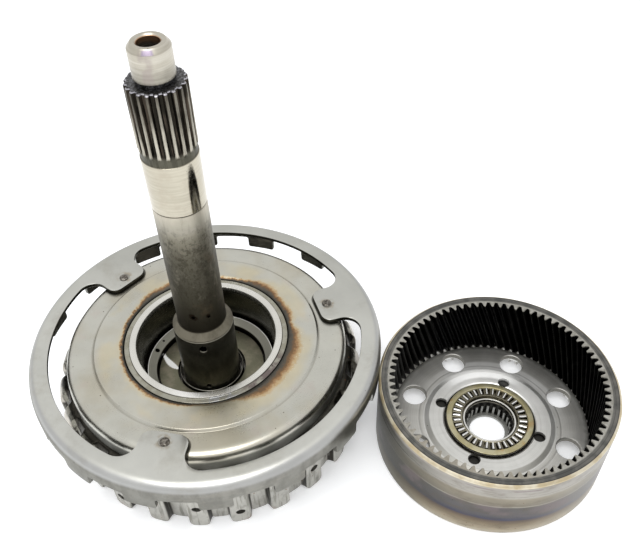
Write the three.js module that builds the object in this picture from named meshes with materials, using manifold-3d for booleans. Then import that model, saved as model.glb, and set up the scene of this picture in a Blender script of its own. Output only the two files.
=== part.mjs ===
// Planetary gear set of an automatic transmission, in two pieces that lie side by side.
// One is a clutch drum with the planet carrier inside it and the input shaft standing up
// through its neck. The other is the internal ring gear with its splined hub and its
// thrust bearing, lying next to the drum. Millimetres, +Z up, floor at z = 0.
import * as THREE from 'three';
import { mergeVertices } from 'three/addons/utils/BufferGeometryUtils.js';
import Module from 'manifold-3d';

const wasm = await Module();
wasm.setup();

// ---- driving dimensions ----

const GAP = 0.3;                     // clearance kept between touching pieces
const DEG = Math.PI / 180;

const RING_CENTRE = [163.1, -31.6];  // axis of the loose ring gear, seen from the drum axis
const ORIGIN_SHIFT = -64.6;          // puts the origin under the middle of the whole set

const toneRing = {
  radius: 100, inner: 88.6, top: 58.0, sheet: 2.5, bend: 5, skirtBottom: 46.5,
  lugBottom: 38.5, lugs: 16, lugWidth: 17.5, lugPhase: 6.5,
  tabs: 3, tabPhase: 17.6, tabWidth: 26, tabTip: 67, tabCorner: 6, rivetRadius: 73,
};
const cover = {
  inner: 47, top: 57.4, stepRadius: 63.6, stepTop: 55.2, shoulder: 79.8, shoulderBend: 5,
  skirtBottom: 42.8, sheet: 2.5,
};
const shell = {
  tooth: 88, valley: 83.2, sheet: 2.5, teeth: 24, toothPhase: -122, toothHalf: 3.7,
  valleyHalf: 2.8, seatTop: 42.5, seatBottom: 40, seatInner: 74,
  holeRadius: 2.4, lowHole: 10.3, highHole: 17.7, crown: 80.4, crownHeight: 11.5, crownSteps: 5,
};
const neck = { bore: 38.8, outer: 46.6, groove: 43.4, top: 57.4, bottom: 28.4 };
const plate = {
  top: 28, bottom: 24.5, radius: 80.1, boreRadius: 20, ledgeOuter: 38.2, ledgeTop: 35,
  ledgeInner: 32, ledgeSlope: 1.9, floorTop: 30, pocket: 62, pocketRadius: 7,
};
const lowerPlate = { top: 5.2, bottom: 2.2, radius: 60, bore: 19.8, postRadius: 6, postOrbit: 50 };

const gears = {
  module: 1.49, sunTeeth: 33, planetTeeth: 23, ringTeeth: 79, pressureAngle: 20 * DEG,
  backlash: 0.24, planets: 4, planetPhase: 5, top: 22.8, bottom: 7,
};
const PITCH_SUN = gears.module * gears.sunTeeth / 2;
const PITCH_PLANET = gears.module * gears.planetTeeth / 2;
const PLANET_ORBIT = PITCH_SUN + PITCH_PLANET;

const pin = { radius: 5.5, bottom: 2.6, top: 27.6 };
const needle = { inner: 5.85, outer: 8.1 };
const PLANET_BORE = 8.6;
const planetWasher = { outer: 12.5, thickness: 1, gap: 0.4 };

const shaft = {
  tipTop: 238.2, tipRadius: 9.3, tipChamfer: 2, tipBore: 5, tipBoreDepth: 24, shoulder: 221.2,
  splineCrest: 13.65, splineRoot: 11.9, splineTeeth: 21, splineBottom: 187.5, splineRelief: 13.05,
  journal: 13.55, journalBottom: 184.4, groove: 156.5, body: 13.4, collarTop: 75.5,
  collarBottom: 71.5, lower: 16.8, stub: 14.6, stubTop: 23.2, bottom: 1.6,
  snapGroove: 13.4,
};
const sunSnap = { inner: 13.8, outer: 17.4, bottom: 5.6, top: 6.5, opening: 40 };
const SUN_BORE = 14.95;
const sleeve = { outer: 18.9, inner: 18.1, top: 30.6, bottom: 24.4 };

const ring = {
  outer: 66.1, height: 48.8, chamfer: 1.2, footRadius: 4,
};
const hub = {
  web: 11.4, webBottom: 8.2, edge: 56.8, boss: 12.7, bossRadius: 36.8, pocket: 26.5,
  pocketFloor: 10.4, bore: 14.2, barrel: 19, barrelFillet: 27.5, bottom: 0.4, holes: 8,
  holeRadius: 7.2, holeOrbit: 46.6, holePhase: 19, notches: 4, notchPhase: 64,
  notchOrbit: 29.6, notchRadius: 3.4, splineTeeth: 22, splineTip: 12.3, splineToothHalf: 3.2,
  lip: 10.5, lipTop: 1.9,
};
const hubRing = { outer: 56.6, inner: 54.4, bottom: 5.9, top: 7.9, opening: 9 };
const race = { outer: 25.4, inner: 16.3, bottom: 10.7, top: 11.6 };
const cage = { outer: 25.4, inner: 16.3, bottom: 11.9, top: 14.6 };

// ---- solids ----

function toSolid(geometry) {
  const bare = geometry.clone();
  bare.deleteAttribute('normal');
  bare.deleteAttribute('uv');
  const merged = mergeVertices(bare, 1e-4);
  const mesh = new wasm.Mesh({
    numProp: 3,
    vertProperties: new Float32Array(merged.attributes.position.array),
    triVerts: new Uint32Array(merged.index.array),
  });
  return new wasm.Manifold(mesh);
}

function toGeometry(solid) {
  const mesh = solid.getMesh();
  const geometry = new THREE.BufferGeometry();
  geometry.setAttribute('position', new THREE.BufferAttribute(mesh.vertProperties, 3));
  geometry.setIndex(new THREE.BufferAttribute(mesh.triVerts, 1));
  return geometry;
}

// a turned piece: a closed profile of [radius, height] points, counter-clockwise
function turned(profile, segments = 48) {
  const points = profile.map(([r, z]) => new THREE.Vector2(r, z));
  if (profile[0][0] > 0) points.push(points[0].clone());
  const geometry = new THREE.LatheGeometry(points, segments);
  geometry.rotateX(Math.PI / 2);
  return toSolid(geometry);
}

// a plain turned ring or, with no inner radius, a disc
function turnedRing(inner, outer, bottom, top, segments = 48) {
  return turned([[inner, bottom], [outer, bottom], [outer, top], [inner, top]], segments);
}

// a turned cylinder with no bore
function turnedBar(radius, bottom, top, segments = 24) {
  return turned([[0, bottom], [radius, bottom], [radius, top], [0, top]], segments);
}

// a straight prism over an outline of [x, y] points
function prism(outline, bottom, top) {
  const contour = new THREE.Shape(outline.map(([x, y]) => new THREE.Vector2(x, y)));
  const geometry = new THREE.ExtrudeGeometry(contour, { depth: top - bottom, bevelEnabled: false });
  geometry.translate(0, 0, bottom);
  return toSolid(geometry);
}

const polar = (radius, degrees) => [radius * Math.cos(degrees * DEG), radius * Math.sin(degrees * DEG)];

// a block whose middle is at a radius and an angle, with its width across the radius
function radialBlock(innerRadius, outerRadius, width, bottom, top, degrees) {
  const outline = [
    [innerRadius, -width / 2], [outerRadius, -width / 2], [outerRadius, width / 2], [innerRadius, width / 2],
  ];
  return prism(outline, bottom, top).rotate([0, 0, degrees]);
}

function repeated(count, phase, make) {
  return Array.from({ length: count }, (_, i) => make(phase + i * 360 / count, i));
}

const joined = (solids) => wasm.Manifold.union(solids);

// ---- gear teeth ----

const involute = (angle) => Math.tan(angle) - angle;

// half the angle that an involute tooth takes up at a radius, in degrees
function toothHalfAngle(teeth, radius, thinning) {
  const pitchRadius = gears.module * teeth / 2;
  const baseRadius = pitchRadius * Math.cos(gears.pressureAngle);
  const flank = Math.acos(Math.min(1, baseRadius / Math.max(radius, baseRadius)));
  const half = Math.PI / (2 * teeth) + involute(gears.pressureAngle) - involute(flank);
  return (half - thinning / (2 * pitchRadius)) / DEG;
}

function gearOutline(teeth, root, tip, phase, thinning) {
  const tipHalf = toothHalfAngle(teeth, tip, thinning);
  const rootHalf = toothHalfAngle(teeth, root, thinning);
  return repeated(teeth, phase, (centre) => [
    polar(root, centre - rootHalf), polar(tip, centre - tipHalf),
    polar(tip, centre + tipHalf), polar(root, centre + rootHalf),
  ]).flat();
}

// ---- drum ----

// outer ring with a turned-down, lugged edge and three tabs that reach in over the cover
function toneRingBody() {
  const t = toneRing;
  const bendPoints = (radius, steps) => Array.from({ length: steps + 1 }, (_, i) => {
    const angle = i * 90 / steps * DEG;
    return [t.radius - t.bend + radius * Math.cos(angle), t.top - t.bend + radius * Math.sin(angle)];
  });
  const outside = bendPoints(t.bend, 3);
  const inside = bendPoints(t.bend - t.sheet, 1).reverse();
  const profile = [
    [t.radius - t.sheet, t.lugBottom], [t.radius, t.lugBottom], ...outside,
    [t.inner, t.top], [t.inner, t.top - t.sheet], ...inside,
  ];
  let body = turned(profile, 48);
  const gapWidth = 2 * Math.PI * t.radius / t.lugs - t.lugWidth;
  const gaps = repeated(t.lugs, t.lugPhase + 180 / t.lugs, (angle) =>
    radialBlock(t.radius - 8, t.radius + 8, gapWidth, t.lugBottom - 1, t.skirtBottom, angle));
  body = body.subtract(joined(gaps));
  return body.add(joined(repeated(t.tabs, t.tabPhase, toneRingTab)));
}

function toneRingTab(angle) {
  const t = toneRing;
  const half = t.tabWidth / 2;
  const root = t.inner + 3;
  const flare = 7;
  const outline = [
    [root, -half - flare - 1.5], [root, half + flare + 1.5], [t.inner - 1.2, half + flare - 1],
    [t.inner - 3.2, half + 1.6], [t.inner - 7, half], [t.tabTip + t.tabCorner, half],
    [t.tabTip + 1.5, half - 2], [t.tabTip, half - t.tabCorner], [t.tabTip, -half + t.tabCorner],
    [t.tabTip + 1.5, -half + 2], [t.tabTip + t.tabCorner, -half], [t.inner - 7, -half],
    [t.inner - 3.2, -half - 1.6], [t.inner - 1.2, -half - flare + 1],
  ];
  return prism(outline, t.top - t.sheet, t.top).rotate([0, 0, angle]);
}

function tabRivet() {
  const top = toneRing.top;
  return turned([[0, top + GAP], [3.2, top + GAP], [2.9, top + 0.9], [1.5, top + 1.3], [0, top + 1.3]], 12);
}

// dished cover of the drum, from the neck out to the rounded shoulder and its short skirt
function drumCover() {
  const c = cover;
  const bend = (radius, steps) => Array.from({ length: steps + 1 }, (_, i) => {
    const angle = i * 90 / steps * DEG;
    return [
      c.shoulder - c.shoulderBend + radius * Math.cos(angle),
      c.stepTop - c.shoulderBend + radius * Math.sin(angle),
    ];
  });
  return turned([
    [c.shoulder - c.sheet, c.skirtBottom], [c.shoulder, c.skirtBottom], ...bend(c.shoulderBend, 3),
    [c.stepRadius + 1, c.stepTop], [c.stepRadius - 1, c.top - 1], [c.inner, c.top],
    [c.inner, c.top - c.sheet], [c.stepRadius - 2.5, c.top - c.sheet - 1],
    [c.stepRadius, c.stepTop - c.sheet], ...bend(c.shoulderBend - c.sheet, 1).reverse(),
  ], 40);
}

// corrugated outline of the clutch drum, pushed in by a wall thickness
function shellOutline(inset) {
  const s = shell;
  const lean = inset / s.tooth / DEG * 0.9;
  const toothHalf = s.toothHalf - lean;
  const footHalf = 180 / s.teeth - s.valleyHalf - lean;
  return repeated(s.teeth, s.toothPhase, (centre) => [
    polar(s.valley - inset, centre - footHalf), polar(s.tooth - inset, centre - toothHalf),
    polar(s.tooth - inset, centre + toothHalf), polar(s.valley - inset, centre + footHalf),
  ]).flat();
}

// a drilling that points out from the axis, at a height and an angle
function radialHole(radius, innerRadius, outerRadius, height, degrees) {
  return turnedBar(radius, innerRadius, outerRadius, 12).rotate([0, 90, 0])
    .translate([0, 0, height]).rotate([0, 0, degrees]);
}

// pressed clutch drum: splined wall, the cover's seat, and oil holes in two of every three teeth
function splinedShell() {
  const s = shell;
  const outside = prism(shellOutline(0), 0, s.seatTop).subtract(aroundCrown(0));
  const hollow = prism(shellOutline(s.sheet), -1, s.seatBottom).subtract(aroundCrown(s.sheet));
  const seatBore = turnedBar(s.seatInner, s.seatBottom - 1, s.seatTop + 1, 48);
  const holeRow = (height, phase) => repeated(s.teeth / 3, phase, (angle) =>
    radialHole(s.holeRadius, s.valley - 8, s.tooth + 2, height, angle));
  const lowHoles = holeRow(s.lowHole, s.toothPhase);
  const highHoles = holeRow(s.highHole, s.toothPhase + 2 * 360 / s.teeth);
  return outside.subtract(hollow).subtract(seatBore).subtract(joined([...lowHoles, ...highHoles]));
}

// the space round the bend that closes the shell towards the cover, moved in by an inset
function aroundCrown(inset) {
  const s = shell;
  const foot = s.seatTop - s.crownHeight;
  const reach = s.tooth - s.crown;
  const bend = Array.from({ length: s.crownSteps + 1 }, (_, i) => {
    const turn = i / s.crownSteps * Math.PI / 2;
    return [
      s.crown - inset + reach * Math.cos(turn),
      foot + (s.crownHeight - inset) * Math.sin(turn),
    ];
  });
  const beyond = s.tooth + 2;
  return turned([
    [beyond, foot], [beyond, s.seatTop + 2], [s.crown - inset, s.seatTop + 2], ...bend.reverse(),
  ], 96);
}

function neckSleeve() {
  const n = neck;
  return turned([
    [n.bore, n.bottom], [n.outer, n.bottom], [n.outer, n.top - 0.8], [n.groove, n.top - 0.8],
    [n.groove, n.top], [n.bore + 0.8, n.top], [n.bore, n.top - 1.6],
  ], 36);
}

// ---- planet carrier ----

// upper carrier plate: raised conical ledge under the neck, sunk floor and the shaft bore
function carrierUpperPlate() {
  const p = plate;
  const body = turned([
    [p.boreRadius, p.bottom], [p.radius, p.bottom], [p.radius, p.top], [p.ledgeOuter, p.top],
    [p.ledgeOuter, p.ledgeTop], [p.ledgeOuter - 1.1, p.ledgeTop],
    [p.ledgeInner, p.ledgeTop - p.ledgeSlope], [p.ledgeInner, p.floorTop], [p.boreRadius, p.floorTop],
  ], 40);
  const pockets = repeated(gears.planets, gears.planetPhase + 45, (angle) =>
    turnedBar(p.pocketRadius, p.bottom - 1, p.top + 1, 12).translate([...polar(p.pocket, angle), 0]));
  return body.subtract(joined(pockets)).subtract(joined(pinHoles(p.bottom - 1, p.top + 1)));
}

// lower carrier plate with the four posts that space it from the upper plate
function carrierLowerPlate() {
  const l = lowerPlate;
  const disc = turnedRing(l.bore, l.radius, l.bottom, l.top, 36);
  const posts = repeated(gears.planets, gears.planetPhase + 45, (angle) =>
    turnedBar(l.postRadius, l.bottom, plate.bottom - GAP, 12).translate([...polar(l.postOrbit, angle), 0]));
  return disc.add(joined(posts)).subtract(joined(pinHoles(l.bottom - 1, l.top + 1)));
}

function pinHoles(bottom, top) {
  return repeated(gears.planets, gears.planetPhase, (angle) =>
    turnedBar(pin.radius + GAP, bottom, top, 16).translate([...polar(PLANET_ORBIT, angle), 0]));
}

function planetPin() {
  return turnedBar(pin.radius, pin.bottom, pin.top, 16);
}

function planetGear(phase) {
  const outline = gearOutline(
    gears.planetTeeth, PITCH_PLANET - 1.2 * gears.module, PITCH_PLANET + 0.9 * gears.module,
    phase, gears.backlash);
  const bore = turnedBar(PLANET_BORE, gears.bottom - 1, gears.top + 1, 16);
  return prism(outline, gears.bottom, gears.top).subtract(bore);
}

function planetNeedles() {
  return turnedRing(needle.inner, needle.outer, gears.bottom + 0.4, gears.top - 0.4, 16);
}

function planetThrustWasher(bottom) {
  return turnedRing(needle.inner, planetWasher.outer, bottom, bottom + planetWasher.thickness, 16);
}

// a planet's own turn that puts one of its tooth gaps against the sun tooth beside it
function planetToothPhase(orbitAngle) {
  const sunPitch = 360 / gears.sunTeeth;
  const sunPart = orbitAngle / sunPitch - Math.floor(orbitAngle / sunPitch);
  return orbitAngle + 180 - (0.5 - sunPart) * 360 / gears.planetTeeth;
}

// ---- input shaft ----

function inputShaft() {
  const s = shaft;
  const blank = turned([
    [0, s.bottom], [s.stub, s.bottom], [s.stub, sunSnap.bottom - 0.2], [s.snapGroove, sunSnap.bottom - 0.2],
    [s.snapGroove, sunSnap.top + 0.2], [s.stub, sunSnap.top + 0.2], [s.stub, s.stubTop],
    [s.lower, s.stubTop], [s.lower, s.collarBottom], [s.body, s.collarTop], [s.body, s.groove],
    [s.journal, s.groove], [s.journal, s.journalBottom], [s.splineRelief, s.journalBottom],
    [s.splineRelief, s.splineBottom], [s.splineRoot, s.splineBottom + 3],
    [s.splineRoot, s.shoulder], [s.tipRadius, s.shoulder], [s.tipRadius, s.tipTop - s.tipChamfer],
    [s.tipRadius - s.tipChamfer, s.tipTop], [0, s.tipTop],
  ], 24);
  const teeth = prism(splineOutline(), s.splineBottom - 1, s.shoulder - 0.6);
  const bore = turnedBar(s.tipBore, s.tipTop - s.tipBoreDepth, s.tipTop + 1, 16);
  return blank.add(teeth).subtract(bore);
}

function splineOutline() {
  const s = shaft;
  const pitch = 360 / s.splineTeeth;
  return repeated(s.splineTeeth, -99, (centre) => [
    polar(s.splineRoot - 0.4, centre - 0.33 * pitch), polar(s.splineCrest, centre - 0.2 * pitch),
    polar(s.splineCrest, centre + 0.2 * pitch), polar(s.splineRoot - 0.4, centre + 0.33 * pitch),
  ]).flat();
}

function sunGear() {
  const outline = gearOutline(
    gears.sunTeeth, PITCH_SUN - 1.2 * gears.module, PITCH_SUN + 0.9 * gears.module, 0, gears.backlash);
  const bore = turnedBar(SUN_BORE, gears.bottom - 1, gears.top + 1, 24);
  return prism(outline, gears.bottom, gears.top).subtract(bore);
}

// an open spring ring, drawn as most of a circle
function snapRing(inner, outer, bottom, top, opening, segments) {
  const sweep = 360 - opening;
  const arc = (radius) => Array.from({ length: segments + 1 }, (_, i) =>
    polar(radius, opening / 2 + i * sweep / segments));
  return prism([...arc(outer), ...arc(inner).reverse()], bottom, top);
}

// ---- loose ring gear ----

function ringGear() {
  const r = ring;
  const foot = Array.from({ length: 4 }, (_, i) => {
    const angle = i * 30 * DEG;
    return [r.outer - r.footRadius + r.footRadius * Math.sin(angle), r.footRadius * (1 - Math.cos(angle))];
  });
  const blank = turned([
    [0, 0], ...foot, [r.outer, r.height - r.chamfer], [r.outer - r.chamfer, r.height], [0, r.height],
  ], 48);
  const pitchRadius = gears.module * gears.ringTeeth / 2;
  const tip = pitchRadius - 1.1 * gears.module;
  const root = pitchRadius + 1.2 * gears.module;
  const spaces = prism(gearOutline(gears.ringTeeth, tip, root, 0, -gears.backlash), -1, r.height + 1);
  return blank.subtract(spaces);
}

function hubPlate() {
  const h = hub;
  const body = turned([
    [0, h.bottom], [h.barrel, h.bottom], [h.barrel, h.webBottom - 3], [h.barrelFillet, h.webBottom - 1.5],
    [h.barrelFillet + 3, h.webBottom], [h.edge, h.webBottom],
    [h.edge, h.web], [h.bossRadius + 0.8, h.web], [h.bossRadius, h.boss], [h.pocket, h.boss],
    [h.pocket, h.pocketFloor], [0, h.pocketFloor],
  ], 40);
  const holes = repeated(h.holes, h.holePhase, (angle) =>
    turnedBar(h.holeRadius, h.webBottom - 1, h.web + 1, 12).translate([...polar(h.holeOrbit, angle), 0]));
  const notches = repeated(h.notches, h.notchPhase, (angle) =>
    turnedBar(h.notchRadius, h.pocketFloor - 1, h.boss + 1, 12)
      .translate([...polar(h.notchOrbit, angle), 0]));
  const splineOutline = repeated(h.splineTeeth, 0, (centre) => [
    polar(h.bore, centre - 180 / h.splineTeeth + h.splineToothHalf), polar(h.splineTip, centre - 2),
    polar(h.splineTip, centre + 2), polar(h.bore, centre + 180 / h.splineTeeth - h.splineToothHalf),
  ]).flat();
  const bore = prism(splineOutline, h.lipTop, h.boss).add(turnedBar(h.lip, h.bottom - 1, h.boss, 32));
  return body.subtract(bore).subtract(joined(holes)).subtract(joined(notches));
}

// ---- assembly ----

const finish = {
  satin: [0xb9b8b4, 0.38], cover: [0xbab6aa, 0.36], neck: [0xc8c7c2, 0.25], dark: [0x4a4843, 0.45],
  shaft: [0x5a564e, 0.4], polished: [0xd8d6cf, 0.18], ringOutside: [0x77716a, 0.35],
  web: [0xa5a39e, 0.42], bronze: [0xa99a68, 0.35], gear: [0x8d8b86, 0.35],
};

const assembly = new THREE.Group();
assembly.position.x = ORIGIN_SHIFT;
const ringGroup = new THREE.Group();
ringGroup.position.set(RING_CENTRE[0], RING_CENTRE[1], 0);
assembly.add(ringGroup);

function addPiece(name, solid, finishName, parent = assembly, x = 0, y = 0) {
  const [color, roughness] = finish[finishName];
  const material = new THREE.MeshStandardMaterial({ color, roughness, metalness: 0.95 });
  const mesh = new THREE.Mesh(toGeometry(solid), material);
  mesh.name = name;
  mesh.position.set(x, y, 0);
  parent.add(mesh);
}

addPiece('tone_ring', toneRingBody(), 'satin');
repeated(toneRing.tabs, toneRing.tabPhase + 0.5, (angle, i) =>
  addPiece(`tab_rivet_${i + 1}`, tabRivet(), 'dark', assembly, ...polar(toneRing.rivetRadius, angle)));
addPiece('drum_cover', drumCover(), 'cover');
addPiece('clutch_drum', splinedShell(), 'satin');
addPiece('neck_sleeve', neckSleeve(), 'neck');
addPiece('carrier_upper_plate', carrierUpperPlate(), 'web');
addPiece('carrier_lower_plate', carrierLowerPlate(), 'web');
addPiece('shaft_sleeve', turnedRing(sleeve.inner, sleeve.outer, sleeve.bottom, sleeve.top, 32), 'polished');

repeated(gears.planets, gears.planetPhase, (angle, i) => {
  const [x, y] = polar(PLANET_ORBIT, angle);
  const lowWasher = gears.bottom - planetWasher.gap - planetWasher.thickness;
  addPiece(`planet_pin_${i + 1}`, planetPin(), 'polished', assembly, x, y);
  addPiece(`planet_gear_${i + 1}`, planetGear(planetToothPhase(angle)), 'gear', assembly, x, y);
  addPiece(`planet_needles_${i + 1}`, planetNeedles(), 'polished', assembly, x, y);
  addPiece(`planet_washer_low_${i + 1}`, planetThrustWasher(lowWasher), 'bronze', assembly, x, y);
  addPiece(`planet_washer_high_${i + 1}`, planetThrustWasher(gears.top + GAP), 'bronze', assembly, x, y);
});

addPiece('input_shaft', inputShaft(), 'shaft');
addPiece('sun_gear', sunGear(), 'gear');
addPiece('sun_snap_ring',
  snapRing(sunSnap.inner, sunSnap.outer, sunSnap.bottom, sunSnap.top, sunSnap.opening, 16), 'dark');

addPiece('ring_gear', ringGear(), 'ringOutside', ringGroup);
addPiece('ring_hub', hubPlate(), 'web', ringGroup);
addPiece('hub_snap_ring',
  snapRing(hubRing.inner, hubRing.outer, hubRing.bottom, hubRing.top, hubRing.opening, 32),
  'dark', ringGroup);
addPiece('bearing_race',
  turnedRing(race.inner, race.outer, race.bottom, race.top, 32), 'polished', ringGroup);
addPiece('thrust_bearing',
  turnedRing(cage.inner, cage.outer, cage.bottom, cage.top, 32), 'bronze', ringGroup);

export default assembly;
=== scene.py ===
"""Planetary gear set of an automatic transmission: the looks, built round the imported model."""
import math

import bmesh
import bpy
import numpy as np
from mathutils import Matrix, Vector


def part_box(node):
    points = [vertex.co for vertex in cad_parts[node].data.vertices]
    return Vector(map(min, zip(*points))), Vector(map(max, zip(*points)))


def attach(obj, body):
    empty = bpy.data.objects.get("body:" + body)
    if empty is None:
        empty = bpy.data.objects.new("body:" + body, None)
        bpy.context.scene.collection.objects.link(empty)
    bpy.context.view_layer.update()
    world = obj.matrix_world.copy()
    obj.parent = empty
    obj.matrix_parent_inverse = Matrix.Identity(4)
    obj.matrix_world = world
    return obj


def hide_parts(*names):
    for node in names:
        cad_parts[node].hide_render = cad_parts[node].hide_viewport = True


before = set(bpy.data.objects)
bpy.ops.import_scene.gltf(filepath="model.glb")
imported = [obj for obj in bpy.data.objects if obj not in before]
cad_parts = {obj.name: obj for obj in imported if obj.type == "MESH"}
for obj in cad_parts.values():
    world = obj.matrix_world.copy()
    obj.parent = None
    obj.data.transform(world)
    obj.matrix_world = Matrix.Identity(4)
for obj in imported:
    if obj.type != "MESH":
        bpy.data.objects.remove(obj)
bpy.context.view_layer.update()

MM = 0.001
TURN = 2 * math.pi
NEARLY_HALF = 0.49        # the most of an edge that one rounded corner takes


def axis_of(node):
    """The upright axis through the middle of a CAD node, in millimetres."""
    low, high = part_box(node)
    return (low.x + high.x) / 2 / MM, (low.y + high.y) / 2 / MM


def top_of(node):
    """The height of a CAD node's top, in millimetres."""
    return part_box(node)[1].z / MM


def bottom_of(node):
    """The height of a CAD node's underside, in millimetres."""
    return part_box(node)[0].z / MM


def levels(node):
    """The heights of a CAD node's underside and top, in millimetres."""
    return bottom_of(node), top_of(node)


def from_nearest(degrees, phase, count):
    """Degrees from the nearest of some equal places round a circle, either way."""
    pitch = 360 / count
    return (degrees - phase + pitch / 2) % pitch - pitch / 2


DRUM = axis_of("neck_sleeve")
RING = axis_of("thrust_bearing")


# ---------------------------------------------------------------- mesh tools

def ring_of(radius, angles, height):
    """Points round an axis, from radii, angles in radians and heights."""
    parts = np.broadcast_arrays(radius * np.cos(angles), radius * np.sin(angles), height)
    return np.stack(parts, axis=-1)


def make_piece(name, vertices, faces, centre=DRUM):
    """A mesh object from points in millimetres round an axis."""
    mesh = bpy.data.meshes.new(name)
    points = np.asarray(vertices, float).reshape(-1, 3) + (centre[0], centre[1], 0)
    mesh.from_pydata((points * MM).tolist(), [], faces)
    piece = bpy.data.objects.new(name, mesh)
    bpy.context.scene.collection.objects.link(piece)
    return piece


def clean(piece, weld=0.002):
    """Welds the points that meet, drops empty faces and turns every face outwards."""
    work = bmesh.new()
    work.from_mesh(piece.data)
    bmesh.ops.remove_doubles(work, verts=work.verts, dist=weld * MM)
    bmesh.ops.dissolve_degenerate(work, edges=work.edges, dist=weld * MM / 4)
    bmesh.ops.recalc_face_normals(work, faces=work.faces)
    work.to_mesh(piece.data)
    work.free()


def grid_faces(rows, columns, closed_rows=True):
    """Quads of a grid of points, wrapped round its columns and, where asked, its rows."""
    faces = []
    for i in range(rows if closed_rows else rows - 1):
        i2 = (i + 1) % rows
        for j in range(columns):
            j2 = (j + 1) % columns
            faces.append((i * columns + j, i2 * columns + j, i2 * columns + j2, i * columns + j2))
    return faces


def rounded(outline, steps=4):
    """An outline with its corners rounded. A point is (x, y) or (x, y, radius)."""
    result = []
    count = len(outline)
    for i, point in enumerate(outline):
        if len(point) < 3 or point[2] <= 0:
            result.append(point[:2])
            continue
        corner = Vector(point[:2])
        before = Vector(outline[i - 1][:2]) - corner
        after = Vector(outline[(i + 1) % count][:2]) - corner
        opening = before.angle(after)
        reach = point[2] / math.tan(opening / 2)
        reach = min(reach, before.length * NEARLY_HALF, after.length * NEARLY_HALF)
        start = corner + before.normalized() * reach
        end = corner + after.normalized() * reach
        for k in range(steps + 1):
            t = k / steps
            curve = start * (1 - t) ** 2 + corner * 2 * t * (1 - t) + end * t ** 2
            result.append((curve.x, curve.y))
    return result


def turned(name, outline, centre=DRUM, segments=256, steps=4):
    """A turned piece. The outline is a closed loop of (radius, height, corner radius)."""
    profile = np.array(rounded(outline, steps))
    angles = np.arange(segments) * TURN / segments
    points = ring_of(profile[:, 0], angles[:, None], profile[:, 1])
    piece = make_piece(name, points, grid_faces(segments, len(profile)), centre)
    clean(piece)
    return piece


def bar(name, radius, low, high, matrix, centre, segments=32, chamfer=0.0, flare=0.0):
    """A bar along its own Z, placed by a matrix in millimetres. A chamfer widens its top end."""
    outline = [(0, low), (radius, low)]
    if chamfer > 0:
        outline += [(radius, high - flare - chamfer), (radius + chamfer, high - flare)]
    outline += [(radius + chamfer, high), (0, high)]
    angles = np.arange(segments) * TURN / segments
    points = np.array([ring_of(r, angles, z) for r, z in outline]).reshape(-1, 3)
    points = points @ np.array(matrix.to_3x3()).T + np.array(matrix.translation)
    piece = make_piece(name, points, grid_faces(len(outline), segments, closed_rows=False), centre)
    clean(piece)
    return piece


def join(pieces):
    """Joins several meshes into the first one."""
    target = pieces[0]
    work = bmesh.new()
    for piece in pieces:
        work.from_mesh(piece.data)
    work.to_mesh(target.data)
    work.free()
    for piece in pieces[1:]:
        bpy.data.objects.remove(piece)
    return target


def cut(piece, cutters):
    """Cuts the cutters out of a piece."""
    cutter = join(cutters)
    modifier = piece.modifiers.new("cut", "BOOLEAN")
    modifier.operation = "DIFFERENCE"
    modifier.solver = "EXACT"
    modifier.object = cutter
    evaluated = piece.evaluated_get(bpy.context.evaluated_depsgraph_get())
    mesh = bpy.data.meshes.new_from_object(evaluated)
    piece.modifiers.clear()
    piece.data = mesh
    bpy.data.objects.remove(cutter)


def polar(radius, degrees):
    """The point at a radius and an angle."""
    return radius * math.cos(math.radians(degrees)), radius * math.sin(math.radians(degrees))


def upright(radius, degrees):
    """Places a bar upright, at a radius and an angle round an axis."""
    return Matrix.Translation((*polar(radius, degrees), 0))


def evenly(radius, phase, count):
    """Upright places spaced evenly round an axis, the first at an angle in degrees."""
    return [upright(radius, phase + k * 360 / count) for k in range(count)]


def radial(degrees, height):
    """Places a bar so that it points out from the axis, at an angle and a height."""
    turn = Matrix.Rotation(math.radians(degrees), 4, "Z") @ Matrix.Rotation(math.pi / 2, 4, "Y")
    return Matrix.Translation((0, 0, height)) @ turn


def smoothstep(low, high, value):
    """0 to 1 as a value goes from low to high, with soft ends."""
    t = np.clip((value - low) / (high - low), 0, 1)
    return t * t * (3 - 2 * t)


def install(piece, body, nodes, material, sharp=32):
    """Shading, material and body of a finished piece; hides the CAD nodes it stands in for."""
    for polygon in piece.data.polygons:
        polygon.use_smooth = True
    piece.data.set_sharp_from_angle(angle=math.radians(sharp))
    piece.data.materials.clear()
    piece.data.materials.append(material)
    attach(piece, body)
    if nodes:
        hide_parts(*nodes)


# ---------------------------------------------------------------- material tools

BUMP_DEPTH = 0.0002       # metres


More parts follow.
